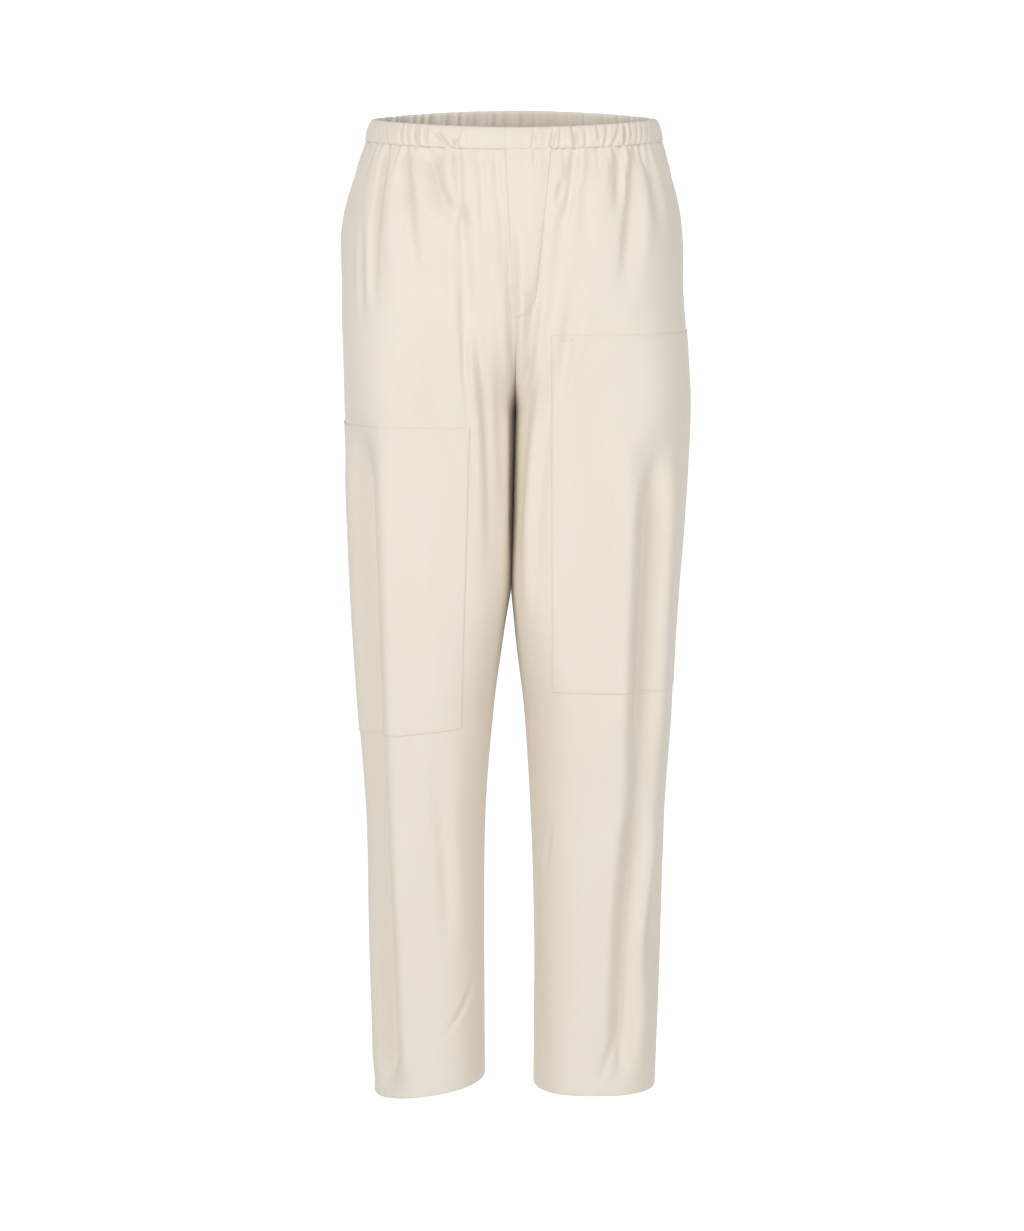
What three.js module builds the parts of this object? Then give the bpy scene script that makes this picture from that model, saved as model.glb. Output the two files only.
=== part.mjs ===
// Lounge pants in one light cloth, worn and hollow, hanging from the wearer's waist.
// A gathered elastic waistband carries two fronts and two backs. A mock fly lies at the centre front,
// a slanted pocket mouth at each side shows its facing, and a long patch covers each knee.
// Sizes are in millimetres, +Z is up and the front faces -Y. The wearer's left leg is on +X.
// The origin is the centre of the waist, at the middle of the waistband's height at the sides.
import * as THREE from "three";

const RIGHT = -1;
const LEFT = 1;
const FRONT = -1;
const BACK = 1;

// Driving sizes
const CLOTH = 1.6; // wall of one layer
const CASING = 3; // wall of the waistband, two layers round the elastic
const SEAM_GAP = 0.3;
const BAND_HEIGHT = 22.6;
const BAND_PROUD = 1;
const CROTCH = -287;
const HEM = -985;
const HEM_TURNING = 42;
const FRONT_SINK = -145; // where the centre front seam starts to sink between the legs
const BACK_SINK = -170;
const FRONT_DIP = -8; // how far the waist drops at the centre front
const BACK_RISE = 9;
const ROUNDNESS = 0.82; // exponent of the sections: 1 is an ellipse, less is squarer
const INNER_ROUNDNESS = { [RIGHT]: 0.7, [LEFT]: 0.55 }; // the same for a thigh's inner front
const THIGH_FROM = -145; // between these levels a thigh's inner front turns squarer
const THIGH_TO = -465;
const KNEE = -600; // and by here it is as round as the rest again
const POCKET_TOP_TURN = 0.2; // how far round from the side seam the pocket mouth starts
const POCKET_END = -160;
const POCKET_GAPE = 3;
const FACING_END = -154;
const FLY_WIDTH = 35;
const FLY_FOOT_WIDTH = 18;
const FLY_END = -184;
const FLY_CURVE = 20; // height of the fly's rounded foot
const FLY_TOE = 4; // what is left of the fly's width at its foot
const FLY_LAP = 10; // how far the fly laps over the right front at the waistband
const FLY_LAP_FOOT = 1.5;
const CROTCH_DRAWN = 28; // how far round the legs' parting the cloth is drawn tight

const HALF_BAND = BAND_HEIGHT / 2;
const TOP = -HALF_BAND - SEAM_GAP;

// Sections of the garment on a general figure. right and left are the outline's half widths, rightGap
// and leftGap are how far each leg's inside stands from the middle, or past it where less than 0, front and
// back are the depths from the side seam, seam is the side seam's own place, and tilt is how far a level
// drops at the right leg's outside.
const SECTION_COLUMNS = ["level", "right", "left", "rightGap", "leftGap", "front", "back", "seam", "tilt"];
const SECTIONS = [
  [14, 144, 142, 0, 0, 95, 93, -2, 0],
  [0, 148, 145, 0, 0, 98, 96, -2, 0],
  [-14, 153, 150, 0, 0, 101, 100, -2, 0],
  [-45, 163, 158, 0, 0, 108, 110, -2, 0],
  [-105, 174, 168, 0, 0, 115, 124, 0, 0],
  [-175, 177, 172, 0, 0, 116, 134, 2, 0],
  [-225, 177, 176, 0, 0, 115, 135, 3, 0],
  [-287, 176, 179, 0, 0, 113, 128, 5, 0],
  [-390, 173, 174, 2.5, -2.2, 111, 116, 5, 1],
  [-465, 169.5, 169, 4.6, -4, 107.5, 108.5, 3.5, 3],
  [-520, 166, 165.5, 12.5, 0.5, 103.5, 104, 2, 5],
  [-595, 160, 162, 23, 10, 98, 100, 0, 7],
  [-700, 152, 154, 31, 16, 89, 94, -1, 8],
  [-830, 150, 150, 32, 19, 81, 86, 0, 8],
  [-940, 148, 149, 32, 19, 77, 81, 1, 8],
  [-985, 149, 147, 32, 19, 76, 80, 1, 8],
];

// The larger folds. Each runs from its top through its middle to its foot, x across and z up, and is
// a trough where deep is more than 0. open and fade are the shares of its length over which it starts and
// ends. A fold whose open is 0 starts at the waistband.
const FOLDS = [
  { side: RIGHT, face: FRONT, x: [-128, -137, -139], z: [-14, -69, -188], deep: 4, wide: 8, open: 0, fade: 0.6 },
  { side: RIGHT, face: FRONT, x: [-109, -107, -87], z: [-14, -85, -198], deep: 4, wide: 9, open: 0, fade: 0.6 },
  { side: RIGHT, face: FRONT, x: [-86, -76, -55], z: [-14, -56, -100], deep: 7, wide: 9, open: 0, fade: 0.35 },
  { side: RIGHT, face: FRONT, x: [-58, -53, -48], z: [-14, -84, -293], deep: 4, wide: 6, open: 0, fade: 0.5 },
  { side: RIGHT, face: FRONT, x: [-48, -36, -29], z: [-125, -218, -464], deep: 5, wide: 7, open: 0.3, fade: 0.5 },
  { side: RIGHT, face: FRONT, x: [-10, -3, -2], z: [-40, -150, -330], deep: 8, wide: 6.5, open: 0.3, fade: 0.4 },
  { side: RIGHT, face: FRONT, x: [-155, -149, -141], z: [-285, -440, -670], deep: 9, wide: 12, open: 0.25, fade: 0.35 },
  { side: RIGHT, face: FRONT, x: [-145, -138, -131], z: [-570, -785, -985], deep: 8, wide: 12, open: 0.35, fade: 0.2 },
  { side: RIGHT, face: FRONT, x: [-84, -71, -68], z: [-627, -750, -860], deep: 3, wide: 10, open: 0.4, fade: 0.4 },
  { side: LEFT, face: FRONT, x: [34, 28, 18], z: [-14, -102, -205], deep: 3, wide: 6, open: 0, fade: 0.3 },
  { side: LEFT, face: FRONT, x: [58, 46, 29], z: [-14, -94, -225], deep: 6, wide: 7, open: 0, fade: 0.4 },
  { side: LEFT, face: FRONT, x: [57, 56, 34], z: [-64, -158, -310], deep: 4, wide: 8, open: 0.4, fade: 0.5 },
  { side: LEFT, face: FRONT, x: [78, 70, 70], z: [-14, -53, -140], deep: 5, wide: 7, open: 0, fade: 0.6 },
  { side: LEFT, face: FRONT, x: [102, 102, 103], z: [-14, -54, -95], deep: 4, wide: 6, open: 0, fade: 0.6 },
  { side: LEFT, face: FRONT, x: [119, 118, 106], z: [-14, -69, -180], deep: 5, wide: 8, open: 0, fade: 0.5 },
  { side: LEFT, face: FRONT, x: [126, 136, 144], z: [-14, -47, -110], deep: 4, wide: 8, open: 0, fade: 0.5 },
  { side: LEFT, face: FRONT, x: [142, 137, 130], z: [-290, -429, -640], deep: 12, wide: 12, open: 0.3, fade: 0.3 },
  { side: LEFT, face: FRONT, x: [131, 123, 110], z: [-560, -724, -985], deep: 9, wide: 13, open: 0.25, fade: 0.25 },
  { side: LEFT, face: FRONT, x: [150, 141, 128], z: [-690, -776, -880], deep: 5, wide: 8, open: 0.3, fade: 0.5 },
  { side: RIGHT, face: BACK, x: [-112, -108, -96], z: [-14, -90, -210], deep: 4, wide: 9, open: 0, fade: 0.6 },
  { side: RIGHT, face: BACK, x: [-62, -66, -60], z: [-14, -80, -180], deep: 4, wide: 8, open: 0, fade: 0.6 },
  { side: RIGHT, face: BACK, x: [-46, -76, -112], z: [-284, -310, -346], deep: 5, wide: 10, open: 0.4, fade: 0.5 },
  { side: RIGHT, face: BACK, x: [-96, -104, -92], z: [-330, -520, -760], deep: 6, wide: 12, open: 0.3, fade: 0.4 },
  { side: LEFT, face: BACK, x: [52, 58, 50], z: [-14, -85, -170], deep: 4, wide: 8, open: 0, fade: 0.6 },
  { side: LEFT, face: BACK, x: [118, 110, 98], z: [-14, -95, -230], deep: 4, wide: 9, open: 0, fade: 0.6 },
  { side: LEFT, face: BACK, x: [50, 80, 114], z: [-278, -312, -340], deep: 5, wide: 10, open: 0.4, fade: 0.5 },
  { side: LEFT, face: BACK, x: [84, 74, 86], z: [-340, -560, -800], deep: 6, wide: 12, open: 0.3, fade: 0.4 },
];

// Gathers of the waistband across the front, as uneven as they hang: across is the place, deep and wide
// the size, and long how far each runs down into the cloth.
const FRONT_GATHERS = [
  { across: -136, deep: 2.4, wide: 3.0, long: 60 },
  { across: -131, deep: 1.6, wide: 2.2, long: 25 },
  { across: -123, deep: 2.0, wide: 2.4, long: 35 },
  { across: -117, deep: 1.4, wide: 2.0, long: 20 },
  { across: -113, deep: 2.0, wide: 2.0, long: 30 },
  { across: -105, deep: 2.4, wide: 2.4, long: 60 },
  { across: -98, deep: 2.6, wide: 2.2, long: 34 },
  { across: -87, deep: 2.4, wide: 3.4, long: 50 },
  { across: -71, deep: 2.0, wide: 4.0, long: 22 },
  { across: -56, deep: 2.6, wide: 3.0, long: 60 },
  { across: -45, deep: 1.0, wide: 3.0, long: 20 },
  { across: -36, deep: 1.4, wide: 3.0, long: 50 },
  { across: -27, deep: 1.0, wide: 3.0, long: 20 },
  { across: -18, deep: 1.4, wide: 3.0, long: 60 },
  { across: -7, deep: 1.6, wide: 2.6, long: 20 },
  { across: 6, deep: 1.0, wide: 3.0, long: 12 },
  { across: 19, deep: 2.0, wide: 2.6, long: 22 },
  { across: 28, deep: 1.4, wide: 2.4, long: 14 },
  { across: 38, deep: 2.0, wide: 2.4, long: 40 },
  { across: 46, deep: 2.0, wide: 2.4, long: 50 },
  { across: 58, deep: 3.0, wide: 3.0, long: 70 },
  { across: 70, deep: 1.6, wide: 2.6, long: 18 },
  { across: 79, deep: 2.4, wide: 2.8, long: 45 },
  { across: 87, deep: 2.2, wide: 2.4, long: 35 },
  { across: 94, deep: 1.8, wide: 2.2, long: 20 },
  { across: 102, deep: 2.6, wide: 2.6, long: 50 },
  { across: 109, deep: 1.8, wide: 2.2, long: 25 },
  { across: 115, deep: 2.0, wide: 2.2, long: 30 },
  { across: 121, deep: 2.2, wide: 2.2, long: 50 },
  { across: 127, deep: 2.0, wide: 2.2, long: 30 },
  { across: 133, deep: 1.8, wide: 2.4, long: 40 },
];
const BACK_GATHER_COUNT = 30;

const clamp = THREE.MathUtils.clamp;
const smooth = THREE.MathUtils.smoothstep;

// The gathers of the back, which the front's view hides: as many as the front has, and as uneven.
function backGathers() {
  const reach = 139;
  const pitch = (2 * reach) / (BACK_GATHER_COUNT - 1);
  return Array.from({ length: BACK_GATHER_COUNT }, (_, i) => ({
    across: -reach + pitch * i + 2.4 * Math.sin(2.4 * i),
    deep: 2.1 + 0.6 * Math.sin(1.7 * i + 0.5),
    wide: 2.6 + 0.5 * Math.sin(3.1 * i),
    long: 38 + 20 * Math.sin(2.9 * i + 1),
  }));
}

// One row of the section table at any height, on a smooth curve through the rows.
function sectionAt(level) {
  const last = SECTIONS.length - 1;
  let i = 0;
  while (i < last - 1 && level < SECTIONS[i + 1][0]) i += 1;
  const [p, q] = [SECTIONS[i], SECTIONS[i + 1]];
  const [before, after] = [SECTIONS[Math.max(i - 1, 0)], SECTIONS[Math.min(i + 2, last)]];
  const span = q[0] - p[0];
  const t = (level - p[0]) / span;
  const found = {};
  SECTION_COLUMNS.forEach((name, k) => {
    const start = ((q[k] - before[k]) / (q[0] - before[0])) * span;
    const end = ((after[k] - p[k]) / (after[0] - p[0])) * span;
    const rise = q[k] - p[k];
    found[name] = p[k] + t * start + t * t * (3 * rise - 2 * start - end) + t * t * t * (start + end - 2 * rise);
  });
  return found;
}

const arcs = new Map();

function arcAt(side, face, level) {
  const key = `${side} ${face} ${level}`;
  if (!arcs.has(key)) arcs.set(key, findArc(side, face, level));
  return arcs.get(key);
}

// The arc that one face of one side follows at a level: a quarter of the waist above the legs, which
// opens into half of a leg's ring as the centre seam sinks.
function findArc(side, face, level) {
  const section = sectionAt(level);
  const outer = side === LEFT ? section.left : section.right;
  const gap = side === LEFT ? section.leftGap : section.rightGap;
  const inner = level < CROTCH ? gap : 0;
  const sink = face === FRONT ? FRONT_SINK : BACK_SINK;
  const fall = 1 - (1 - clamp((sink - level) / (sink - CROTCH), 0, 1) ** 2) ** 2;
  const thigh = face === FRONT ? smooth(-level, -THIGH_FROM, -CROTCH) * (1 - smooth(-level, -THIGH_TO, -KNEE)) : 0;
  const innerRoundness = THREE.MathUtils.lerp(ROUNDNESS, INNER_ROUNDNESS[side], thigh);
  const halfWidth = (outer - inner) / (1 + Math.pow(fall, innerRoundness));
  const depth = face === FRONT ? section.front : section.back;
  const sweep = Math.PI / 2 + Math.asin(fall);
  return {
    halfWidth,
    depth,
    sweep,
    middle: outer - halfWidth,
    seam: section.seam,
    tilt: side === RIGHT ? section.tilt : 0,
    innerRoundness,
    girth: sweep * Math.sqrt((halfWidth * halfWidth + depth * depth) / 2),
  };
}

const rounded = (value, roundness) => Math.sign(value) * Math.pow(Math.abs(value), roundness);

// A point of the plain form. turn goes from 0 at the side seam to 1 at the centre seam or inseam.
function formPoint({ side, face, turn, level }) {
  const arc = arcAt(side, face, level);
  const angle = turn * arc.sweep;
  const dip = (face === FRONT ? FRONT_DIP : BACK_RISE) * Math.sin(angle) ** 2 * smooth(level, -130, TOP);
  const roundness = angle > Math.PI / 2 ? arc.innerRoundness : ROUNDNESS;
  return new THREE.Vector3(
    side * (arc.middle + arc.halfWidth * rounded(Math.cos(angle), roundness)),
    arc.seam + face * arc.depth * rounded(Math.sin(angle), roundness),
    level + dip - arc.tilt * Math.cos(angle),
  );
}

// The plain form's outward normal, from the slopes along and down it.
function formNormal(spot) {
  const along = 0.004;
  const down = 0.4;
  const step = (change) => formPoint({ ...spot, ...change });
  const round = step({ turn: spot.turn + along }).sub(step({ turn: spot.turn - along }));
  const fall = step({ level: spot.level - down }).sub(step({ level: spot.level + down }));
  return round.cross(fall).multiplyScalar(-spot.side * spot.face).normalize();
}

// How far round an arc a point across the garment lies.
function turnAt(side, face, across, level) {
  const arc = arcAt(side, face, level);
  const share = clamp((Math.abs(across) - arc.middle) / arc.halfWidth, -1, 1);
  const roundness = share < 0 ? arc.innerRoundness : ROUNDNESS;
  return Math.acos(rounded(share, 1 / roundness)) / arc.sweep;
}

// The curve through a fold's three points, at a level.
function foldAcross({ x, z }, level) {
  const share = (i, j, k) => ((level - z[j]) * (level - z[k])) / ((z[i] - z[j]) * (z[i] - z[k]));
  return x[0] * share(0, 1, 2) + x[1] * share(1, 0, 2) + x[2] * share(2, 0, 1);
}

// The distance along the cloth between a turn of one face and a spot, over the side seam, the centre
// seam or the inseam where that joins them. It is endless where nothing does.
function distanceAlong(side, face, turn, spot) {
  const homeGirth = arcAt(side, face, spot.level).girth;
  const spotGirth = arcAt(spot.side, spot.face, spot.level).girth;
  const [from, to] = [turn * homeGirth, spot.turn * spotGirth];
  const overMiddle = homeGirth - from + spotGirth - to;
  if (side === spot.side && face === spot.face) return to - from;
  if (side === spot.side) return spot.level < CROTCH ? Math.min(from + to, overMiddle) : from + to;
  return face === spot.face && spot.level > CROTCH ? overMiddle : Infinity;
}

// A fold across its width: a trough between two low ridges.
const troughShape = (q) => -Math.exp(-q * q) + 0.35 * Math.exp(-((Math.abs(q) - 1.9) ** 2));

function foldRelief(spot) {
  return FOLDS.reduce((sum, fold) => {
    const [top, foot] = [fold.z[0], fold.z[2]];
    const down = (top - spot.level) / (top - foot);
    if (down > 1) return sum;
    const starts = fold.open ? smooth(down, 0, fold.open) : smooth(top - spot.level, -8, 14);
    const ends = 1 - smooth(down, 1 - fold.fade, 1);
    const turn = turnAt(fold.side, fold.face, foldAcross(fold, spot.level), spot.level);
    const away = distanceAlong(fold.side, fold.face, turn, spot);
    return sum + fold.deep * starts * ends * troughShape(away / fold.wide);
  }, 0);
}

// Every gather with the place it has round the waistband.
const GATHERS = [
  ...FRONT_GATHERS.map((gather) => ({ ...gather, face: FRONT })),
  ...backGathers().map((gather) => ({ ...gather, face: BACK })),
].map((gather) => {
  const side = gather.across < 0 ? RIGHT : LEFT;
  return { ...gather, side, turn: turnAt(side, gather.face, gather.across, 0) };
});

// The gathers keep their turn round the waist, and die out down the cloth.
function gatherRelief(spot) {
  return GATHERS.reduce((sum, { side, face, turn, deep, wide, long }) => {
    const lasting = 1 - smooth(TOP - spot.level, 0, long);
    if (lasting <= 0) return sum;
    const away = distanceAlong(side, face, turn, spot) / wide;
    return sum - deep * lasting * Math.exp(-away * away);
  }, 0);
}

// The front lifts a little along the pocket mouth.
function pocketLift(spot) {
  if (spot.face !== FRONT || spot.level < POCKET_END) return 0;
  const arc = arcAt(spot.side, spot.face, spot.level);
  const away = (spot.turn - pocketMouth(spot.level)) * arc.girth;
  const along = (spot.level - POCKET_END) / (TOP - POCKET_END);
  return POCKET_GAPE * Math.sin(Math.PI * along) * Math.exp(-((Math.max(away, 0) / 14) ** 2));
}

// The legs' parting is drawn tight, so no fold crosses it.
function slackness(point) {
  const away = Math.hypot(point.x, point.y - sectionAt(CROTCH).seam, point.z - CROTCH);
  return 1 - Math.exp(-((away / CROTCH_DRAWN) ** 2));
}

// The line across which the two sides meet. It bends to the right below the legs' parting, where the left
// leg leans on the right one.
function meetingLine(level) {
  if (level > CROTCH) return 0;
  const { leftGap, rightGap } = sectionAt(level);
  return (leftGap - rightGap) / 2;
}

// A point of the cloth: raised over the folded form, kept on its own side of the meeting line, and then
// sunk into the wall.
function clothPoint(spot, relief, raised, sunk) {
  const normal = formNormal(spot);
  const point = formPoint(spot);
  point.addScaledVector(normal, relief * slackness(point) + raised);
  const line = meetingLine(spot.level);
  point.x = line + spot.side * Math.max(spot.side * (point.x - line), SEAM_GAP / 2);
  return point.addScaledVector(normal, -sunk);
}

const panelPoint = (spot, raised, sunk) =>
  clothPoint(spot, foldRelief(spot) + gatherRelief(spot) + pocketLift(spot), raised, sunk);

// Where the pocket mouth lies: it slants from the waistband to the side seam.
function pocketMouth(level) {
  return POCKET_TOP_TURN * clamp((level - POCKET_END) / (TOP - POCKET_END), 0, 1);
}

// The patch's inner edge across each leg, which every row of a front passes through.
const patches = {
  [LEFT]: { name: "knee_patch_left", across: [36, 37], top: -202, foot: -564 },
  [RIGHT]: { name: "knee_patch_right", across: [-46, -55], top: -295, foot: -605 },
};

function patchEdge(side, level) {
  const { across, top, foot } = patches[side];
  const down = clamp((top - level) / (top - foot), 0, 1);
  return turnAt(side, FRONT, THREE.MathUtils.lerp(across[0], across[1], down), level);
}

// The fly's two edges: the stitched one on the left front, which rounds in to the middle at its foot, and
// the folded one, which laps over the right front.
function flyEdge(side, level) {
  const down = clamp((TOP - level) / (TOP - FLY_END), 0, 1);
  const lap = THREE.MathUtils.lerp(FLY_LAP, FLY_LAP_FOOT, down);
  const straight = THREE.MathUtils.lerp(FLY_WIDTH, FLY_FOOT_WIDTH, down);
  const rounding = clamp((FLY_END + FLY_CURVE - level) / FLY_CURVE, 0, 1);
  const stitched = Math.max(straight * Math.sqrt(1 - rounding * rounding), FLY_TOE);
  return turnAt(side, FRONT, side === LEFT ? stitched : lap, level);
}

// Even steps between two turns, without the last one.
const steps = (from, to, count) =>
  Array.from({ length: count }, (_, i) => THREE.MathUtils.lerp(from, to, i / count));

// Turns of the gathers between two limits, with a point at each gather's foot and both its shoulders.
function gatherTurns(side, face, from, to, level) {
  const { girth } = arcAt(side, face, level);
  const least = 2.4 / girth;
  const wanted = GATHERS.filter((gather) => gather.side === side && gather.face === face)
    .flatMap(({ turn, wide }) => [-1.3, 0, 1.3].map((k) => turn + (k * wide) / girth))
    .sort((a, b) => a - b);
  return wanted.reduce(
    (kept, turn) => (turn - kept[kept.length - 1] > least && turn < to - least ? [...kept, turn] : kept),
    [from],
  );
}

const edgeTurn = (side, face, level) => SEAM_GAP / 2 / arcAt(side, face, level).girth;

const UPPER_LEVELS = [TOP, -17, -27, -43, -66];
const MAIN_LEVELS = [
  -95, -120, -145, -164, -173, -180, FLY_END, -202, -232, -254, -271, -282, CROTCH,
  -295, -322, -360, -405, -450, -490, -525, -564, -605, -650, -700, -760, -820, -880, HEM + HEM_TURNING, -964, HEM,
];
const BACK_LEVELS = [
  -95, -130, -170, -205, -229, -250, -268, -281, CROTCH,
  -300, -335, -385, -440, -500, -570, -640, -710, -790, -870, HEM + HEM_TURNING, -964, HEM,
];

const FRONT_OUTER_CELLS = 17;
const FRONT_INNER_CELLS = 6;
const FLY_CELLS = { [LEFT]: 3, [RIGHT]: 1 };
const BACK_CELLS = 15;

// The turns of one row of a front, from the pocket mouth or side seam in to the centre seam.
function frontTurns(side, level) {
  const start = Math.max(pocketMouth(level), edgeTurn(side, FRONT, level));
  const patch = patchEdge(side, level);
  const overFly = level >= FLY_END;
  const fly = flyEdge(side, level);
  const nearMiddle = [...steps(fly, 1, FLY_CELLS[side]), 1];
  if (level > MAIN_LEVELS[0]) return [...gatherTurns(side, FRONT, start, fly, level), ...nearMiddle];
  const outer = steps(start, patch, FRONT_OUTER_CELLS);
  if (!overFly) return [...outer, ...steps(patch, 1, FRONT_INNER_CELLS), 1];
  return [...outer, ...steps(patch, fly, FRONT_INNER_CELLS - FLY_CELLS[side]), ...nearMiddle];
}

function backTurns(side, level) {
  const start = edgeTurn(side, BACK, level);
  if (level > BACK_LEVELS[0]) return [...gatherTurns(side, BACK, start, 1, level), 1];
  return [...steps(start, 1, BACK_CELLS), 1];
}

// Below the legs' parting the rows stop short of the inseam, to leave its seam gap.
function endAtInseam(side, face, level, turns) {
  if (level > CROTCH) return turns;
  return [...turns.slice(0, -1), 1 - edgeTurn(side, face, level)];
}

const spotsOf = (side, face, level, turns) => turns.map((turn) => ({ side, face, turn, level }));

// A wall of cloth through rows of spots. Two neighbouring rows are joined in squares where they have as
// many spots, and else by always stepping to the nearer next spot. closed joins each row's ends.
function wall(name, rows, outside, inside, colour, closed = false) {
  const points = [];
  const faces = [];
  const place = (surface) =>
    rows.map((row) => row.map((spot) => points.push(...surface(spot).toArray()) / 3 - 1));
  const [outer, inner] = [place(outside), place(inside)];
  const both = (a, b, c) => [a, b, c];
  const share = (row, i, even) => (even ? i / (row.length - 1) : row[i].turn);

  const join = (grid, flip) => {
    const add = (a, b, c) => faces.push(...(flip ? both(a, c, b) : both(a, b, c)));
    for (let r = 0; r + 1 < rows.length; r += 1) {
      const [upper, lower] = [grid[r], grid[r + 1]];
      const even = upper.length === lower.length;
      let [i, j] = [0, 0];
      while (i < upper.length - 1 || j < lower.length - 1) {
        const nextUpper = i < upper.length - 1 ? share(rows[r], i + 1, even) : Infinity;
        const nextLower = j < lower.length - 1 ? share(rows[r + 1], j + 1, even) : Infinity;
        if (nextUpper <= nextLower) {
          add(upper[i], lower[j], upper[i + 1]);
          i += 1;
        } else {
          add(upper[i], lower[j], lower[j + 1]);
          j += 1;
        }
      }
      if (closed) {
        const last = upper.length - 1;
        add(upper[last], lower[last], upper[0]);
        add(upper[0], lower[last], lower[0]);
      }
    }
  };
  join(outer, false);
  join(inner, true);

  // The rim between the two surfaces, along the rows' first and last spots and the end rows.
  const rim = (out, within) => {
    for (let i = 0; i + 1 < out.length; i += 1) {
      faces.push(out[i], out[i + 1], within[i], within[i], out[i + 1], within[i + 1]);
    }
  };
  const ring = (row) => (closed ? [...row, row[0]] : [...row]);
  const lastRow = rows.length - 1;
  rim(ring(outer[0]), ring(inner[0]));
  rim(ring(outer[lastRow]).reverse(), ring(inner[lastRow]).reverse());
  if (!closed) {
    rim(outer.map((row) => row[0]).reverse(), inner.map((row) => row[0]).reverse());
    rim(outer.map((row) => row[row.length - 1]), inner.map((row) => row[row.length - 1]));
  }
  return solid(name, points, faces, colour);
}

// A named mesh whose faces point out, whichever way its rows ran.
function solid(name, points, faces, colour) {
  const corner = (i) => new THREE.Vector3().fromArray(points, 3 * i);
  let volume = 0;
  for (let i = 0; i < faces.length; i += 3) {
    const [a, b, c] = [corner(faces[i]), corner(faces[i + 1]), corner(faces[i + 2])];
    volume += a.dot(b.cross(c));
  }
  const geometry = new THREE.BufferGeometry();
  geometry.setAttribute("position", new THREE.Float32BufferAttribute(points, 3));
  geometry.setIndex(volume > 0 ? faces : faces.reverse());
  geometry.computeVertexNormals();
  const material = new THREE.MeshStandardMaterial({ color: colour, roughness: 0.7, metalness: 0 });
  const mesh = new THREE.Mesh(geometry, material);
  mesh.name = name;
  return mesh;
}

const IVORY = 0xe9dfcd;
const IVORY_SHADE = 0xe0d5c2;

function front(side, name) {
  const rows = [...UPPER_LEVELS, ...MAIN_LEVELS].map((level) =>
    spotsOf(side, FRONT, level, endAtInseam(side, FRONT, level, frontTurns(side, level))),
  );
  return wall(name, rows, (spot) => panelPoint(spot, 0, 0), (spot) => panelPoint(spot, 0, CLOTH), IVORY);
}

function back(side, name) {
  const rows = [...UPPER_LEVELS, ...BACK_LEVELS].map((level) =>
    spotsOf(side, BACK, level, endAtInseam(side, BACK, level, backTurns(side, level))),
  );
  return wall(name, rows, (spot) => panelPoint(spot, 0, 0), (spot) => panelPoint(spot, 0, CLOTH), IVORY);
}

// A layer on top of the fronts, raised over their own rows and columns.
function layer(name, rows) {
  const raised = SEAM_GAP + CLOTH;
  return wall(name, rows, (spot) => panelPoint(spot, raised, 0), (spot) => panelPoint(spot, raised, CLOTH), IVORY_SHADE);
}

function kneePatch(side) {
  const { name, top, foot } = patches[side];
  const levels = MAIN_LEVELS.filter((level) => level <= top && level >= foot);
  const rows = levels.map((level) => {
    const turns = endAtInseam(side, FRONT, level, frontTurns(side, level));
    return spotsOf(side, FRONT, level, turns.slice(0, FRONT_OUTER_CELLS + 1));
  });
  return layer(name, rows);
}

function fly() {
  const levels = [...UPPER_LEVELS, ...MAIN_LEVELS].filter((level) => level >= FLY_END);
  const rows = levels.map((level) => [
    ...spotsOf(LEFT, FRONT, level, frontTurns(LEFT, level).slice(-FLY_CELLS[LEFT] - 1)),
    ...spotsOf(RIGHT, FRONT, level, frontTurns(RIGHT, level).slice(-FLY_CELLS[RIGHT] - 1, -1).reverse()),
  ]);
  return layer("mock_fly", rows);
}

// The facing behind a pocket mouth: sewn into the side seam, and under the front past the mouth.
function pocketFacing(side, name) {
  const under = CLOTH + 2 * SEAM_GAP;
  const sunk = (spot) => under * smooth(spot.turn, 0, pocketMouth(spot.level) * 0.9);
  const levels = [...UPPER_LEVELS, ...MAIN_LEVELS].filter((level) => level >= FACING_END);
  const rows = [...levels, FACING_END].map((level) => {
    const mouth = pocketMouth(level);
    const start = edgeTurn(side, FRONT, level);
    return spotsOf(side, FRONT, level, [...steps(start, mouth, 4), ...frontTurns(side, level).slice(0, 3)]);
  });
  const relief = (spot) => foldRelief(spot) + gatherRelief(spot);
  const outside = (spot) => clothPoint(spot, relief(spot), 0, sunk(spot));
  const inside = (spot) => clothPoint(spot, relief(spot), 0, sunk(spot) + CLOTH);
  return wall(name, rows, outside, inside, IVORY_SHADE);
}

// The hem's turning, which lies against the inside of its leg.
function hemTurning(side, name) {
  const under = CLOTH + SEAM_GAP;
  const levels = [HEM + HEM_TURNING, -964, HEM];
  const rows = levels.map((level) => {
    const frontPart = frontTurns(side, level);
    const backPart = backTurns(side, level).slice(1, -1).reverse();
    return [...spotsOf(side, FRONT, level, frontPart), ...spotsOf(side, BACK, level, backPart)];
  });
  return wall(
    name, rows, (spot) => panelPoint(spot, 0, under), (spot) => panelPoint(spot, 0, under + CLOTH), IVORY_SHADE, true,
  );
}

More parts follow.
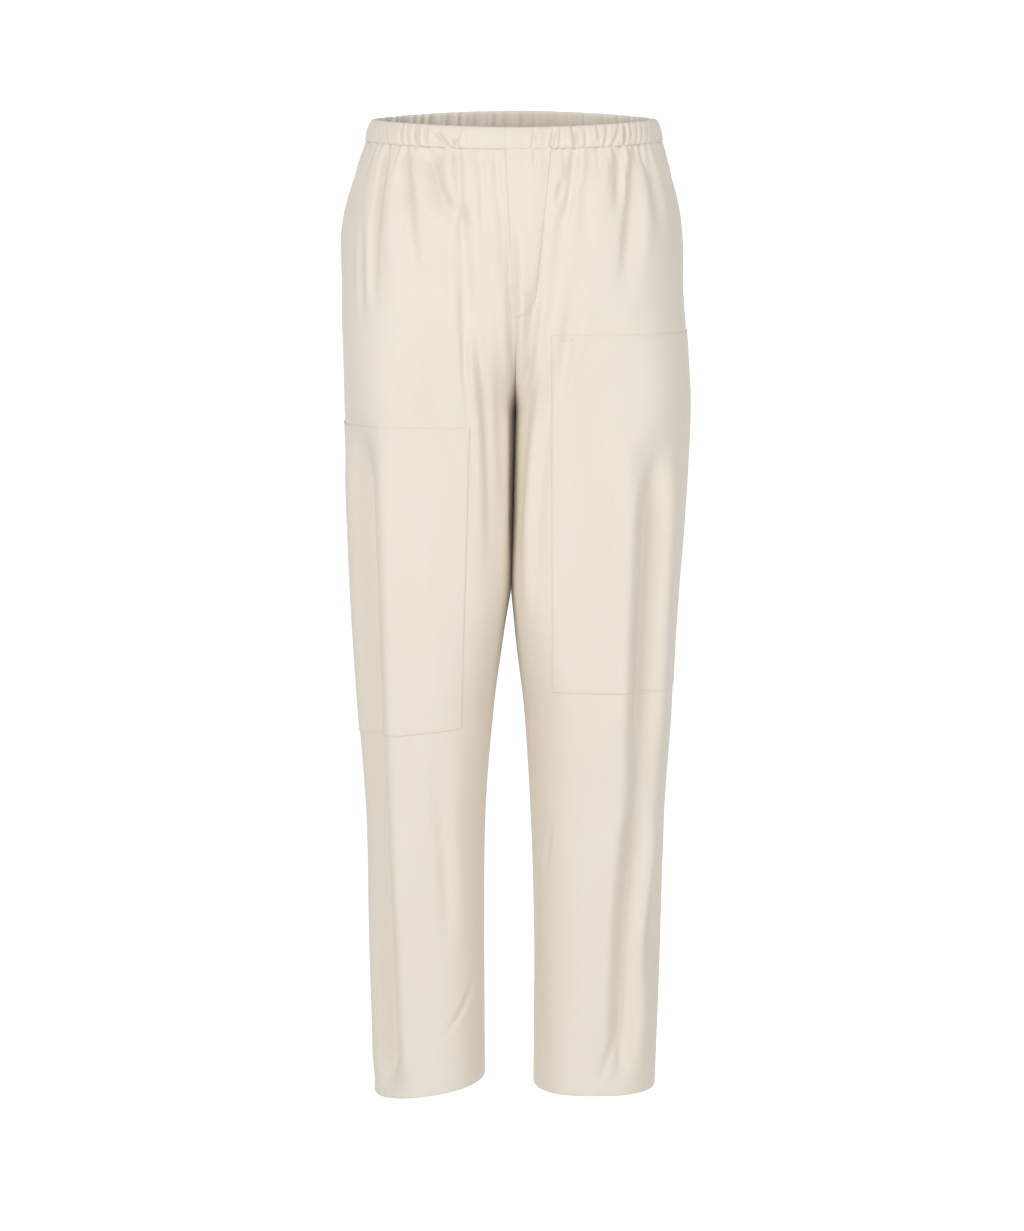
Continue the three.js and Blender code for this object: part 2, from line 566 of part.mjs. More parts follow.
// The elastic waistband: one gathered casing all round.
function waistband() {
  const level = 0;
  const quarters = [[LEFT, FRONT, true], [LEFT, BACK, false], [RIGHT, BACK, true], [RIGHT, FRONT, false]];
  const ring = quarters.flatMap(([side, face, inwardFirst]) => {
    const turns = [...gatherTurns(side, face, 0, 1, level), 1];
    const ordered = inwardFirst ? turns.reverse() : turns;
    return spotsOf(side, face, level, ordered.slice(0, -1));
  });
  const rows = [HALF_BAND, 0, -HALF_BAND].map((height) => ring.map((spot) => ({ ...spot, level: height })));
  const place = (sunk) => (spot) => {
    const pinch = 1 - 0.3 * Math.max(spot.level, 0) / HALF_BAND;
    const relief = gatherRelief({ ...spot, level: TOP }) * pinch;
    return formPoint(spot).addScaledVector(formNormal(spot), relief + BAND_PROUD - sunk);
  };
  return wall("waistband", rows, place(0), place(CASING), IVORY_SHADE, true);
}

const pants = new THREE.Group();
pants.name = "lounge_pants";
pants.add(
  waistband(),
  front(RIGHT, "front_right"),
  front(LEFT, "front_left"),
  back(RIGHT, "back_right"),
  back(LEFT, "back_left"),
  fly(),
  pocketFacing(RIGHT, "pocket_facing_right"),
  pocketFacing(LEFT, "pocket_facing_left"),
  kneePatch(RIGHT),
  kneePatch(LEFT),
  hemTurning(RIGHT, "hem_right"),
  hemTurning(LEFT, "hem_left"),
);

export default pants;
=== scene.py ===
# %% [markdown]
# Lounge pants, dressed in cloth.
#
# This lesson takes the plain solids of a pair of lounge pants and covers each with a thin shell of real
# cloth: gathered at the waist, folded down the legs, stitched at the patches and hems. Sizes in the
# tables are in millimetres, and only the finished points are turned into metres.

# %% Load the solids
import math

import bpy
import numpy as np
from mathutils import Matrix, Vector


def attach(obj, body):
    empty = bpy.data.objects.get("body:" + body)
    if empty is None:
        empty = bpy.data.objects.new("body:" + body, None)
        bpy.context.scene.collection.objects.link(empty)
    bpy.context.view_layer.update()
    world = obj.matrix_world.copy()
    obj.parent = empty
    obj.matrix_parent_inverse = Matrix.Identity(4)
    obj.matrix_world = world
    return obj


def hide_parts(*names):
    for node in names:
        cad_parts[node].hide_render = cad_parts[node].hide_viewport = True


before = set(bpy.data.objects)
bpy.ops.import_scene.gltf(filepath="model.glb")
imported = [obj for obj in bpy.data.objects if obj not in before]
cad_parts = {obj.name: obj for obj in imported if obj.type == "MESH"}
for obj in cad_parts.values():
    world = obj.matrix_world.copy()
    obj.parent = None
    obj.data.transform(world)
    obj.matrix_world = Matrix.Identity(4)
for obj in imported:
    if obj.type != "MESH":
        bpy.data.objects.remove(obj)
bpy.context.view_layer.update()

MM = 0.001
RIGHT, LEFT = -1, 1  # the wearer's sides, which are also the signs of X
FRONT, BACK = -1, 1  # and these are the signs of Y

# %% [markdown]
# The camera comes first, so that every later picture can be held against the photograph. The waist is at
# the height of the lens, and the hems are seen from a little above. A long lens four metres away does it.

# %% Camera
CAMERA_PLACE = (-0.0036, -4.0, 0.0)
CAMERA_AIM = (-0.0036, 0.0, -0.4965)
CAMERA_LENS = 114.4

camera_data = bpy.data.cameras.new("camera")
camera_data.lens = CAMERA_LENS
camera_data.sensor_width = 36
camera = bpy.data.objects.new("camera", camera_data)
camera.location = CAMERA_PLACE
view_line = Vector(CAMERA_AIM) - Vector(CAMERA_PLACE)
camera.rotation_euler = view_line.to_track_quat("-Z", "Y").to_euler()
bpy.context.scene.collection.objects.link(camera)
bpy.context.scene.camera = camera
print("camera looks down", round(math.degrees(math.atan2(-view_line.z, view_line.y)), 1), "degrees")

# %% [markdown]
# A pair of trousers is one tube that splits into two. It could be lofted leg by leg and joined, but the
# join at the crotch is hard to keep smooth. Here each quarter, such as the left front, is one sheet with
# two parameters. The turn runs from 0 at the side seam to 1 at the centre seam, and the level runs down.
# Above the legs a quarter sweeps 90 degrees of a squarer ellipse. Towards the crotch the sweep opens to
# 180 degrees, so the same sheet becomes half of a leg's ring.

# %% The plain form
SEAM_GAP = 0.3
HALF_BAND = 11.3
CROTCH = -287
HEM = -985
HEM_TURNING = 42
SINKS = {FRONT: -145, BACK: -170}
DIPS = {FRONT: -8, BACK: 9}
ROUNDNESS = 0.82  # exponent of the sections: 1 is an ellipse, less is squarer
HIP_ROUNDNESS = 0.68  # the same for the front of the hips
INNER_ROUNDNESS = {RIGHT: 0.65, LEFT: 0.55}  # and for a thigh's inner front
CROTCH_DRAWN = 28
TOUCH = 0.02  # how near the meeting line the cloth comes
LEGS_PRESSED = 1.6  # how far the thighs' insides are pressed together
DIP_FROM = -130
TOP = -HALF_BAND - SEAM_GAP
# Stretches of the leg, as distances down from the waist: rising from one to the next, then falling
THIGH = ((145, -CROTCH), (465, 600))
HIPS = ((30, 110), (240, 340))
PRESSED = ((230, 320), (440, 500))

SECTION_COLUMNS = ("right", "left", "right_gap", "left_gap", "front", "back", "seam", "tilt")
SECTION_LEVELS = np.array(
    [14, 0, -14, -45, -105, -175, -225, -287, -390, -465, -520, -595, -700, -830, -940, -985.0]
)
SECTIONS = np.array([
    [144, 142, 0, 0, 95, 93, -2, 0],
    [148, 145, 0, 0, 98, 96, -2, 0],
    [153, 150, 0, 0, 101, 100, -2, 0],
    [163, 158, 0, 0, 108, 110, -2, 0],
    [173.5, 167.5, 0, 0, 115, 124, 0, 0],
    [176.5, 172, 0, 0, 116, 134, 2, 0],
    [176, 175.5, 0, 0, 115, 135, 3, 0],
    [175, 178, 0, 0, 113, 128, 5, 0],
    [171.5, 173.5, 2.5, -2.2, 111, 116, 5, 1],
    [168, 168, 4.6, -4, 107.5, 108.5, 3.5, 3],
    [164, 164.5, 12.5, 0.5, 103.5, 104, 2, 5],
    [157.5, 161, 23, 10, 98, 100, 0, 7],
    [149.5, 153.5, 31, 16, 89, 94, -1, 8],
    [147.5, 149.5, 32, 19, 81, 86, 0, 8],
    [145.5, 147, 32, 19, 77, 81, 1, 8],
    [147.5, 146, 32, 19, 76, 80, 1, 8.0],
])


def smooth(value, start, end):
    """0 before start, 1 after end, and an S-curve between: 3t squared less 2t cubed."""
    t = np.clip((value - start) / (end - start), 0, 1)
    return t * t * (3 - 2 * t)


def swell(level, rise, fall):
    """0 at the top, 1 between two stretches measured down from the waist, and 0 again below."""
    return smooth(-level, *rise) * (1 - smooth(-level, *fall))


def unit(vectors, least=1e-12):
    """Vectors divided by their length, or by least where they are shorter."""
    return vectors / np.maximum(np.linalg.norm(vectors, axis=-1, keepdims=True), least)


def stacked(*values):
    """Values of any matching shapes side by side on a last axis, as coordinates."""
    return np.stack(np.broadcast_arrays(*values), axis=-1)


def section_at(level):
    """Every column of the table at each level, on cubic curves through its rows."""
    level = np.asarray(level, float)
    last = len(SECTION_LEVELS) - 1
    i = np.clip(np.searchsorted(-SECTION_LEVELS, -level, side="right") - 1, 0, last - 1)
    before, after = np.maximum(i - 1, 0), np.minimum(i + 2, last)
    z = SECTION_LEVELS
    span = (z[i + 1] - z[i])[..., None]
    t = ((level - z[i]) / (z[i + 1] - z[i]))[..., None]
    start = (SECTIONS[i + 1] - SECTIONS[before]) / (z[i + 1] - z[before])[..., None] * span
    end = (SECTIONS[after] - SECTIONS[i]) / (z[after] - z[i])[..., None] * span
    rise = SECTIONS[i + 1] - SECTIONS[i]
    found = SECTIONS[i] + t * start + t**2 * (3 * rise - 2 * start - end) + t**3 * (start + end - 2 * rise)
    return dict(zip(SECTION_COLUMNS, np.moveaxis(found, -1, 0)))


print("sections at", len(SECTION_LEVELS), "levels, knee depth", round(float(section_at(-500)["front"]), 1))

# %% [markdown]
# Each section of the table becomes a curve. A plain ellipse is too round for cloth that hangs from the
# hips, and a box is too hard. A circle whose cosine and sine are taken to a power lies between the two,
# and one number sets how square it is. The steps round it are evened, so that folds run on smoothly.

# %% The surface of one quarter
QUARTER = math.pi / 2
TURN_STEP = 0.004  # how far apart the points lie that give a normal
LEVEL_STEP = 0.4


def squarer(angle, arc):
    """A point of a squarer circle, across and out. On the outer quarter the cosine and the sine are divided
    by the root of the sum of their powers. On the inner quarter both are raised to the roundness, and the
    angle to its inverse, which evens the steps."""
    power = 2 / arc["roundness"]
    across, out = np.cos(angle), np.sin(angle)
    reach = (np.abs(across) ** power + np.abs(out) ** power) ** (-1 / power)
    inner = arc["inner_roundness"]
    past = QUARTER * (np.maximum(angle / QUARTER - 1, 0)) ** (1 / inner)
    inner_across = -(np.abs(np.sin(past)) ** inner)
    inner_out = np.sign(np.cos(past)) * np.abs(np.cos(past)) ** inner
    is_inner = angle > QUARTER
    return np.where(is_inner, inner_across, reach * across), np.where(is_inner, inner_out, reach * out)


def arc_at(side, face, level):
    """The arc of one quarter at each level. The half width is the outline's reach over 1 plus the share at
    which the arc ends, so that it always ends at the middle."""
    section = section_at(level)
    side, face = np.asarray(side), np.asarray(face)
    outer = np.where(side == LEFT, section["left"], section["right"])
    gap = np.where(side == LEFT, section["left_gap"], section["right_gap"])
    inner = np.where(level < CROTCH, gap, 0)
    sink = np.where(face == FRONT, SINKS[FRONT], SINKS[BACK])
    fall = 1 - (1 - np.clip((sink - level) / (sink - CROTCH), 0, 1) ** 2) ** 2
    thigh = swell(level, *THIGH) * (face == FRONT)
    squareness = np.where(side == LEFT, INNER_ROUNDNESS[LEFT], INNER_ROUNDNESS[RIGHT])
    hips = swell(level, *HIPS) * (face == FRONT)
    roundness = ROUNDNESS + hips * (HIP_ROUNDNESS - ROUNDNESS)
    inner_roundness = roundness + thigh * (squareness - roundness)
    sweep = QUARTER + QUARTER * (np.arcsin(fall) / QUARTER) ** inner_roundness
    half_width = (outer - inner) / (1 + fall**inner_roundness)
    depth = np.where(face == FRONT, section["front"], section["back"])
    return {
        "half_width": half_width,
        "depth": depth,
        "sweep": sweep,
        "middle": outer - half_width,
        "seam": section["seam"],
        "tilt": np.where(side == RIGHT, section["tilt"], 0),
        "roundness": roundness,
        "inner_roundness": inner_roundness,
        "girth": sweep * np.sqrt((half_width**2 + depth**2) / 2),
    }


def girth_at(side, face, level):
    """The length of cloth from the side seam to the end of one quarter."""
    return arc_at(side, face, level)["girth"]


def form_point(side, face, turn, level):
    """A point of the plain form: across is middle + half width x cosine, depth is seam + depth x sine,
    both squarer. The level dips in front, rises at the back and tilts with the right leg's hem."""
    arc = arc_at(side, face, level)
    angle = turn * arc["sweep"]
    dip = np.where(face == FRONT, DIPS[FRONT], DIPS[BACK]) * np.sin(angle) ** 2 * smooth(level, DIP_FROM, TOP)
    across, out = squarer(angle, arc)
    x = side * (arc["middle"] + arc["half_width"] * across)
    y = arc["seam"] + face * arc["depth"] * out
    z = level + dip - arc["tilt"] * np.cos(angle)
    return stacked(x, y, z)


def form_normal(side, face, turn, level):
    """The plain form's outward normal, from its slopes along a row and down a column."""
    before, after = (form_point(side, face, turn + step, level) for step in (-TURN_STEP, TURN_STEP))
    above, below = (form_point(side, face, turn, level + step) for step in (LEVEL_STEP, -LEVEL_STEP))
    return unit(np.cross(after - before, below - above) * (-np.asarray(side) * np.asarray(face))[..., None])


def turn_at(side, face, across, level):
    """How far round its arc a point across the garment lies: the form's formula solved for the turn."""
    arc = arc_at(side, face, level)
    share = np.clip((np.abs(across) - arc["middle"]) / arc["half_width"], -1, 1)
    out = (1 - np.abs(share) ** (2 / arc["roundness"])) ** (arc["roundness"] / 2)
    inner = arc["inner_roundness"]
    past = QUARTER * (np.arcsin(np.abs(share) ** (1 / inner)) / QUARTER) ** inner
    return np.where(share < 0, QUARTER + past, np.arctan2(out, share)) / arc["sweep"]


waist_arcs = [girth_at(side, face, np.array(0.0)) for side in (RIGHT, LEFT) for face in (FRONT, BACK)]
print("round the waist:", round(float(sum(waist_arcs))), "mm")

# %% [markdown]
# Cloth falls in folds because it is longer than what it covers. Gathers are short, narrow and many, and
# start where the elastic draws the waist in. Folds are longer, and lean and fade down the leg. Both could
# come from a simulation, but then they would lie where the solver puts them. Instead each is one row of a
# table, measured on the photograph, and becomes a trough between two low ridges along a curve.

# %% Folds and gathers shared with the solids


def by_quarter(table):
    """A table's rows, each with its quarter's side and face in front."""
    return [(*quarter, *row) for quarter, rows in table.items() for row in rows]


# Each fold: x at its top, middle and foot, z at the same, how deep and wide it is, and the shares of its
# length over which it opens and fades.
FOLDS = by_quarter({
    (RIGHT, FRONT): [
        (-128, -137, -139, -14, -69, -188, 3, 8, 0, 0.6), (-109, -107, -87, -14, -85, -198, 3, 9, 0, 0.6),
        (-86, -76, -55, -14, -56, -100, 7, 9, 0, 0.35), (-58, -53, -48, -14, -84, -293, 3.5, 6, 0, 0.5),
        (-48, -36, -29, -125, -218, -464, 4, 7, 0.3, 0.5), (-9, -4, -3, -50, -160, -262, 5, 5, 0.35, 0.3),
        (-11, -12, -14, -225, -330, -480, -3, 9, 0.3, 0.4),
        (-156, -151, -140, -275, -440, -720, 15, 15, 0.2, 0.4),
        (-145.5, -137, -131, -540, -785, -985, 14, 14, 0.4, 0.1),
        (-84, -71, -68, -627, -750, -860, 3, 10, 0.4, 0.4),
    ],
    (LEFT, FRONT): [
        (34, 28, 18, -14, -102, -205, 2.5, 6, 0, 0.3), (58, 46, 29, -14, -94, -225, 5, 7, 0, 0.4),
        (21, 15, 7, -140, -206, -268, 5, 6, 0.3, 0.3), (34, 18, 12, -190, -330, -520, -4, 9, 0.3, 0.4),
        (57, 56, 34, -64, -158, -310, 4, 8, 0.4, 0.5), (78, 70, 70, -14, -53, -140, 4, 7, 0, 0.6),
        (102, 102, 103, -14, -54, -95, 3.5, 6, 0, 0.6), (119, 118, 106, -14, -69, -180, 4, 8, 0, 0.5),
        (126, 136, 144, -14, -47, -110, 3, 8, 0, 0.5),
        (142, 135, 127, -290, -429, -700, 15, 13.5, 0.25, 0.3),
        (136, 118, 110, -600, -764, -985, 12, 12.5, 0.35, 0.2),
        (152, 141, 132, -690, -776, -900, 5, 8, 0.3, 0.5),
    ],
    (RIGHT, BACK): [
        (-112, -108, -96, -14, -90, -210, 4, 9, 0, 0.6), (-62, -66, -60, -14, -80, -180, 4, 8, 0, 0.6),
        (-46, -76, -112, -284, -310, -346, 5, 10, 0.4, 0.5),
        (-96, -104, -92, -330, -520, -760, 6, 12, 0.3, 0.4),
    ],
    (LEFT, BACK): [
        (52, 58, 50, -14, -85, -170, 4, 8, 0, 0.6), (118, 110, 98, -14, -95, -230, 4, 9, 0, 0.6),
        (50, 80, 114, -278, -312, -340, 5, 10, 0.4, 0.5), (84, 74, 86, -340, -560, -800, 6, 12, 0.3, 0.4),
    ],
})

# Each gather: its x at the waist, how deep and wide it is, and how far down it reaches.
FRONT_GATHERS = [
    (-136, 2.4, 3.0, 60), (-131, 1.6, 2.2, 25), (-123, 2.0, 2.4, 35), (-117, 1.4, 2.0, 20),
    (-113, 2.0, 2.0, 30), (-105, 2.4, 2.4, 60), (-98, 2.6, 2.2, 34), (-87, 2.4, 3.4, 50),
    (-71, 2.0, 4.0, 22), (-56, 2.6, 3.0, 60), (-45, 1.0, 3.0, 20), (-36, 1.4, 3.0, 50),
    (-27, 1.0, 3.0, 20), (-18, 1.4, 3.0, 60), (-7, 1.6, 2.6, 20), (6, 1.0, 3.0, 12),
    (19, 2.0, 2.6, 22), (28, 1.4, 2.4, 14), (38, 2.0, 2.4, 40), (46, 2.0, 2.4, 50),
    (58, 3.0, 3.0, 70), (70, 1.6, 2.6, 18), (79, 2.4, 2.8, 45), (87, 2.2, 2.4, 35),
    (94, 1.8, 2.2, 20), (102, 2.6, 2.6, 50), (109, 1.8, 2.2, 25), (115, 2.0, 2.2, 30),
    (121, 2.2, 2.2, 50), (127, 2.0, 2.2, 30), (133, 1.8, 2.4, 40),
]
BACK_GATHER_COUNT = 30
BACK_REACH = 139
order = np.arange(BACK_GATHER_COUNT)
back_gathers = np.stack([
    -BACK_REACH + 2 * BACK_REACH / (BACK_GATHER_COUNT - 1) * order + 2.4 * np.sin(2.4 * order),
    2.1 + 0.6 * np.sin(1.7 * order + 0.5),
    2.6 + 0.5 * np.sin(3.1 * order),
    38 + 20 * np.sin(2.9 * order + 1),
], axis=1)


def with_turns(gathers, face):
    """Each gather's row with its side, face and turn round the waist added in front."""
    gathers = np.asarray(gathers, float)
    side = np.where(gathers[:, 0] < 0, RIGHT, LEFT)
    turn = turn_at(side, face, gathers[:, 0], np.zeros(len(gathers)))
    return [(int(s), face, t, *g[1:]) for s, t, g in zip(side, turn, gathers)]


front_gathered, back_gathered = with_turns(FRONT_GATHERS, FRONT), with_turns(back_gathers, BACK)
gathers_all = front_gathered + back_gathered
print(len(FOLDS), "folds and", len(gathers_all), "gathers")

# %% [markdown]
# A fold's depth at a spot depends on how far the spot lies from the fold's curve, measured along the cloth.
# The straight distance would be simpler, but folds would then jump across from one leg to the other. A
# bell curve gives the trough, and two smaller ones beside it give the cloth that it pushes up.

# %% How folds and gathers lift the cloth
RIDGE = 0.35  # height of the ridges beside a fold, for a trough 1 deep
BAND_RIDGE = 0.3
RIDGE_AWAY = 1.9  # how many widths they lie from its middle
FAR_OFF = 1e6


def distance_along(side, face, turn, spot_side, spot_face, spot_turn, level):
    """The distance along the cloth from a turn of one quarter to each spot: straight within a quarter, over
    the seam that joins two, and endless elsewhere."""
    home = girth_at(side, face, level)
    away = girth_at(spot_side, spot_face, level)
    start, end = turn * home, spot_turn * away
    over_middle = home - start + away - end
    over_side = start + end
    same_side, same_face = spot_side == side, spot_face == face
    round_leg = np.where(level < CROTCH, np.minimum(over_side, over_middle), over_side)
    across = np.where(same_face & (level > CROTCH), over_middle, FAR_OFF)
    return np.where(same_side & same_face, end - start, np.where(same_side, round_leg, across))


def trough(away, ridge):
    """Two ridges less a trough, all bell curves of the distance in widths."""
    return ridge * np.exp(-((np.abs(away) - RIDGE_AWAY) ** 2)) - np.exp(-away * away)


def fold_relief(folds, side, face, turn, level):
    """The sum of all folds: each is deep x its start and end x the trough across it."""
    relief = np.zeros(np.broadcast(side, turn, level).shape)
    for row in folds:
        home_side, home_face, x0, x1, x2, z0, z1, z2, deep, wide, opening, fade = row
        down = (z0 - level) / (z0 - z2)
        starts = smooth(down, 0, opening) if opening else smooth(z0 - level, -8, 14)
        lasting = starts * (1 - smooth(down, 1 - fade, 1))
        if not np.any(lasting > 0):
            continue
        at = (x0 * (level - z1) * (level - z2) / ((z0 - z1) * (z0 - z2))
              + x1 * (level - z0) * (level - z2) / ((z1 - z0) * (z1 - z2))
              + x2 * (level - z0) * (level - z1) / ((z2 - z0) * (z2 - z1)))
        home_turn = turn_at(home_side, home_face, at, level)
        away = distance_along(home_side, home_face, home_turn, side, face, turn, level) / wide
        relief = relief + deep * lasting * trough(away, RIDGE)
    return relief


def gather_relief(gathers, side, face, turn, level):
    """The sum of all gathers: each keeps its turn round the waist and dies out down its length."""
    relief = np.zeros(np.broadcast(side, turn, level).shape)
    for home_side, home_face, home_turn, deep, wide, long in gathers:
        lasting = 1 - smooth(TOP - level, 0, long)
        away = distance_along(home_side, home_face, home_turn, side, face, turn, level) / wide
        relief = relief - deep * lasting * np.exp(-away * away)
    return relief


thigh_turn = np.linspace(0, 1, 101)
thigh_relief = fold_relief(FOLDS, RIGHT, FRONT, thigh_turn, np.full(101, -350.0))
print("folds on the right thigh:", thigh_relief.min().round(1), "to", thigh_relief.max().round(1), "mm")

# %% [markdown]
# The solids carry only the large folds. A cloth this light also has short tucks that branch off the
# gathers, faint hollows, and a slow unevenness that keeps a highlight from running straight. The small
# folds are rows of the same kind of table. The unevenness is a sum of a few long waves with fixed phases.

# %% Smaller folds and unevenness
SMALL_FOLDS = by_quarter({
    (RIGHT, FRONT): [
        (-128, -136, -139, -14, -60, -190, 2.4, 3.5, 0, 0.5),
        (-109, -107, -96, -14, -70, -170, 2.4, 4, 0, 0.6), (-98, -98, -99, -14, -24, -38, 2.2, 2.6, 0, 0.4),
        (-86, -74, -58, -20, -58, -86, 2.6, 3.6, 0.1, 0.25),
        (-57, -56, -50, -14, -56, -140, 2.0, 2.6, 0, 0.4),
        (-52, -52, -49, -66, -78, -98, 2.2, 2.6, 0.4, 0.5),
        (-36, -33, -36, -14, -49, -119, 1.8, 2.8, 0, 0.5),
        (-20, -17.5, -18.5, -14, -40, -198, 1.6, 2.8, 0, 0.5),
        (-51, -52, -47, -119, -173, -293, 2.2, 4, 0.4, 0.4),
        (-152, -154, -153, -70, -128, -198, 2.2, 4, 0.4, 0.4),
        (-122, -118, -112, -230, -260, -290, 1.0, 9, 0.5, 0.5),
        (-43, -50, -81, -869, -892, -931, 2.0, 5, 0.4, 0.4),
    ],
    (LEFT, FRONT): [
        (47, 44, 40, -38, -54, -72, 2.4, 3, 0.4, 0.4), (87, 84, 79, -14, -32, -44, 2.2, 3, 0, 0.5),
        (58, 57, 46, -14, -40, -100, 2.6, 3.4, 0, 0.4), (19, 19, 19, -14, -24, -36, 1.4, 2, 0, 0.5),
        (102, 102, 101, -14, -44, -80, 2.0, 3, 0, 0.4), (117, 114, 104, -14, -60, -160, 1.8, 3.6, 0, 0.4),
        (33, 29, 20, -60, -110, -180, 1.4, 3, 0.3, 0.3),
        (130, 122, 118, -300, -335, -372, 1.8, 9, 0.5, 0.5),
        (36, 33, 30, -700, -730, -760, 1.2, 4, 0.5, 0.5), (110, 98, 84, -900, -935, -975, 1.8, 5, 0.5, 0.3),
    ],
    (RIGHT, BACK): [
        (-130, -126, -118, -14, -60, -150, 2.4, 4, 0, 0.5),
        (-84, -82, -76, -14, -44, -110, 2.0, 3.4, 0, 0.5),
        (-30, -34, -38, -14, -50, -120, 1.8, 3.4, 0, 0.5),
        (-60, -84, -108, -336, -358, -376, 2.0, 6, 0.4, 0.5),
        (-70, -66, -72, -560, -640, -720, 2.0, 7, 0.4, 0.5),
    ],
    (LEFT, BACK): [
        (26, 30, 36, -14, -46, -110, 1.8, 3.4, 0, 0.5), (82, 84, 80, -14, -56, -130, 2.2, 3.6, 0, 0.5),
        (134, 130, 122, -14, -64, -150, 2.2, 4, 0, 0.5), (64, 90, 112, -330, -352, -372, 2.0, 6, 0.4, 0.5),
        (104, 110, 104, -520, -620, -730, 2.0, 7, 0.4, 0.5),
    ],
})

# Each wave: how many run round a leg, how many down a metre, its phase and its height.
WAVES = [
    (2.0, 1.1, 0.4, 0.50),
    (3.0, -1.7, 2.1, 0.40),
    (5.0, 2.3, 4.0, 0.25),
    (7.0, -3.1, 1.3, 0.16),
    (11.0, 4.3, 5.2, 0.10),
]


def unevenness(side, face, turn, level):
    """A slow waver of the cloth: a sum of sines of the distance round and down."""
    around = np.asarray(side) * (1 + np.asarray(face) * turn)
    waver = 0
    for round_count, down_count, phase, height in WAVES:
        angle = math.pi * round_count * around + math.tau * down_count * level / 1000 + phase
        waver = waver + height * np.sin(angle)
    return waver * smooth(-level, 20, 120)


print(len(SMALL_FOLDS), "smaller folds and", len(WAVES), "waves")

# %% [markdown]
# One function now says where any spot of cloth lies. It starts on the plain form, adds every fold along
# the form's normal, keeps the spot on its own side of the middle, and last sinks it. Patches ask for a
# spot raised over the same folds, and hems for one sunk under them, so that layers don't touch.

# %% Where the cloth lies
POCKET_TOP_TURN = 0.24
POCKET_END = -160
POCKET_GAPE = 3
POCKET_GAPE_WIDE = 14
GATHERS_KEPT = 0.7  # share of the gathers' depth that the panels below the waistband keep


def pocket_mouth(level):
    """The turn of the pocket mouth: a straight slant from the waistband to the side seam."""
    return POCKET_TOP_TURN * np.clip((level - POCKET_END) / (TOP - POCKET_END), 0, 1)


def pocket_lift(side, face, turn, level):
    """The front's lift: half a sine down the pocket mouth, a bell curve away from it."""
    away = np.maximum((turn - pocket_mouth(level)) * girth_at(side, face, level), 0)
    along = np.clip((level - POCKET_END) / (TOP - POCKET_END), 0, 1)
    lift = POCKET_GAPE * np.sin(math.pi * along) * np.exp(-((away / POCKET_GAPE_WIDE) ** 2))
    return np.where((face == FRONT) & (level > POCKET_END), lift, 0)


def slackness(point):
    """0 at the legs' parting, where the cloth is drawn tight, and 1 a few centimetres away."""
    crotch = np.array([0, section_at(np.array(float(CROTCH)))["seam"], CROTCH])
    away = np.linalg.norm(point - crotch, axis=-1)
    return 1 - np.exp(-((away / CROTCH_DRAWN) ** 2))


def cloth_relief(side, face, turn, level, gape=True):
    """Everything that moves the cloth off the plain form, in millimetres."""
    relief = fold_relief(FOLDS + SMALL_FOLDS, side, face, turn, level)
    relief = relief + GATHERS_KEPT * gather_relief(gathers_all, side, face, turn, level)
    relief = relief + unevenness(side, face, turn, level)
    return relief + (pocket_lift(side, face, turn, level) if gape else 0)


def meeting_line(level):
    """Where the two sides meet: the middle above the legs' parting, and between the legs' insides below."""
    section = section_at(level)
    return np.where(level < CROTCH, (section["left_gap"] - section["right_gap"]) / 2, 0)


def sideways_part(side, face, turn, level, normal):
    """The part of the normal that crosses a seam, close to it: X at the centre seams, Y at the inseam.
    Left out, it keeps the seam shut, because both edges sink the same way."""
    girth = girth_at(side, face, level)
    near = 1 - smooth((1 - turn) * girth, 3, 9)
    above = np.asarray(level) > CROTCH
    return normal * stacked(near * above, near * ~above, 0.0)


def cloth_point(side, face, turn, level, raised=0.0, sunk=0.0, gape=True, past=0.0):
    """A spot of cloth: plain form + normal x (relief + raised), kept off the line where the two sides
    meet, - normal x sunk. past lets hidden cloth reach over that line."""
    side, face = np.asarray(side), np.asarray(face)
    normal = form_normal(side, face, turn, level)
    point = form_point(side, face, turn, level)
    relief = cloth_relief(side, face, turn, level, gape)
    lift = relief * slackness(point) + raised
    point = point + normal * lift[..., None]
    pressed = LEGS_PRESSED * smooth(turn, 0.7, 0.9) * swell(level, *PRESSED)
    point[..., 0] = point[..., 0] - side * pressed
    line = meeting_line(level)
    point[..., 0] = line + side * np.maximum(side * (point[..., 0] - line), TOUCH - past)
    inwards = unit(normal - sideways_part(side, face, turn, level, normal), 0.05)
    return point - inwards * np.broadcast_to(sunk, lift.shape)[..., None]


knee_front = cloth_point(LEFT, FRONT, np.array(0.5), np.array(-500.0))
print("a spot on the left knee:", knee_front.round(1).tolist())

# %% [markdown]
# A shell needs two faces and a rim. Blender's Solidify modifier makes them, but where cloth is folded
# back on itself it pushes the two layers through each other. Here the second face is the same grid, one
# thickness further in along the grid's own normals, and the rim joins the two.

# %% Grids and shells
THICKNESS = 0.45


def grid_normals(points):
    """Unit normals of a grid of points, from the differences of neighbours along rows and columns."""
    return unit(np.cross(np.gradient(points, axis=1), np.gradient(points, axis=0)))


def grid_faces(rows, columns, closed=False):
    """The squares of a grid, each as four corners numbered row by row. closed joins the last column to
    the first."""
    index = np.arange(rows * columns).reshape(rows, columns)
    if closed:
        index = np.concatenate([index, index[:, :1]], axis=1)
    corners = [index[:-1, :-1], index[1:, :-1], index[1:, 1:], index[:-1, 1:]]
    return np.stack(corners, axis=-1).reshape(-1, 4)


def rim_faces(loop, offset):
    """The squares between a loop of corners and the same loop on the second face."""
    return np.stack([loop[:-1], loop[1:], loop[1:] + offset, loop[:-1] + offset], axis=-1)


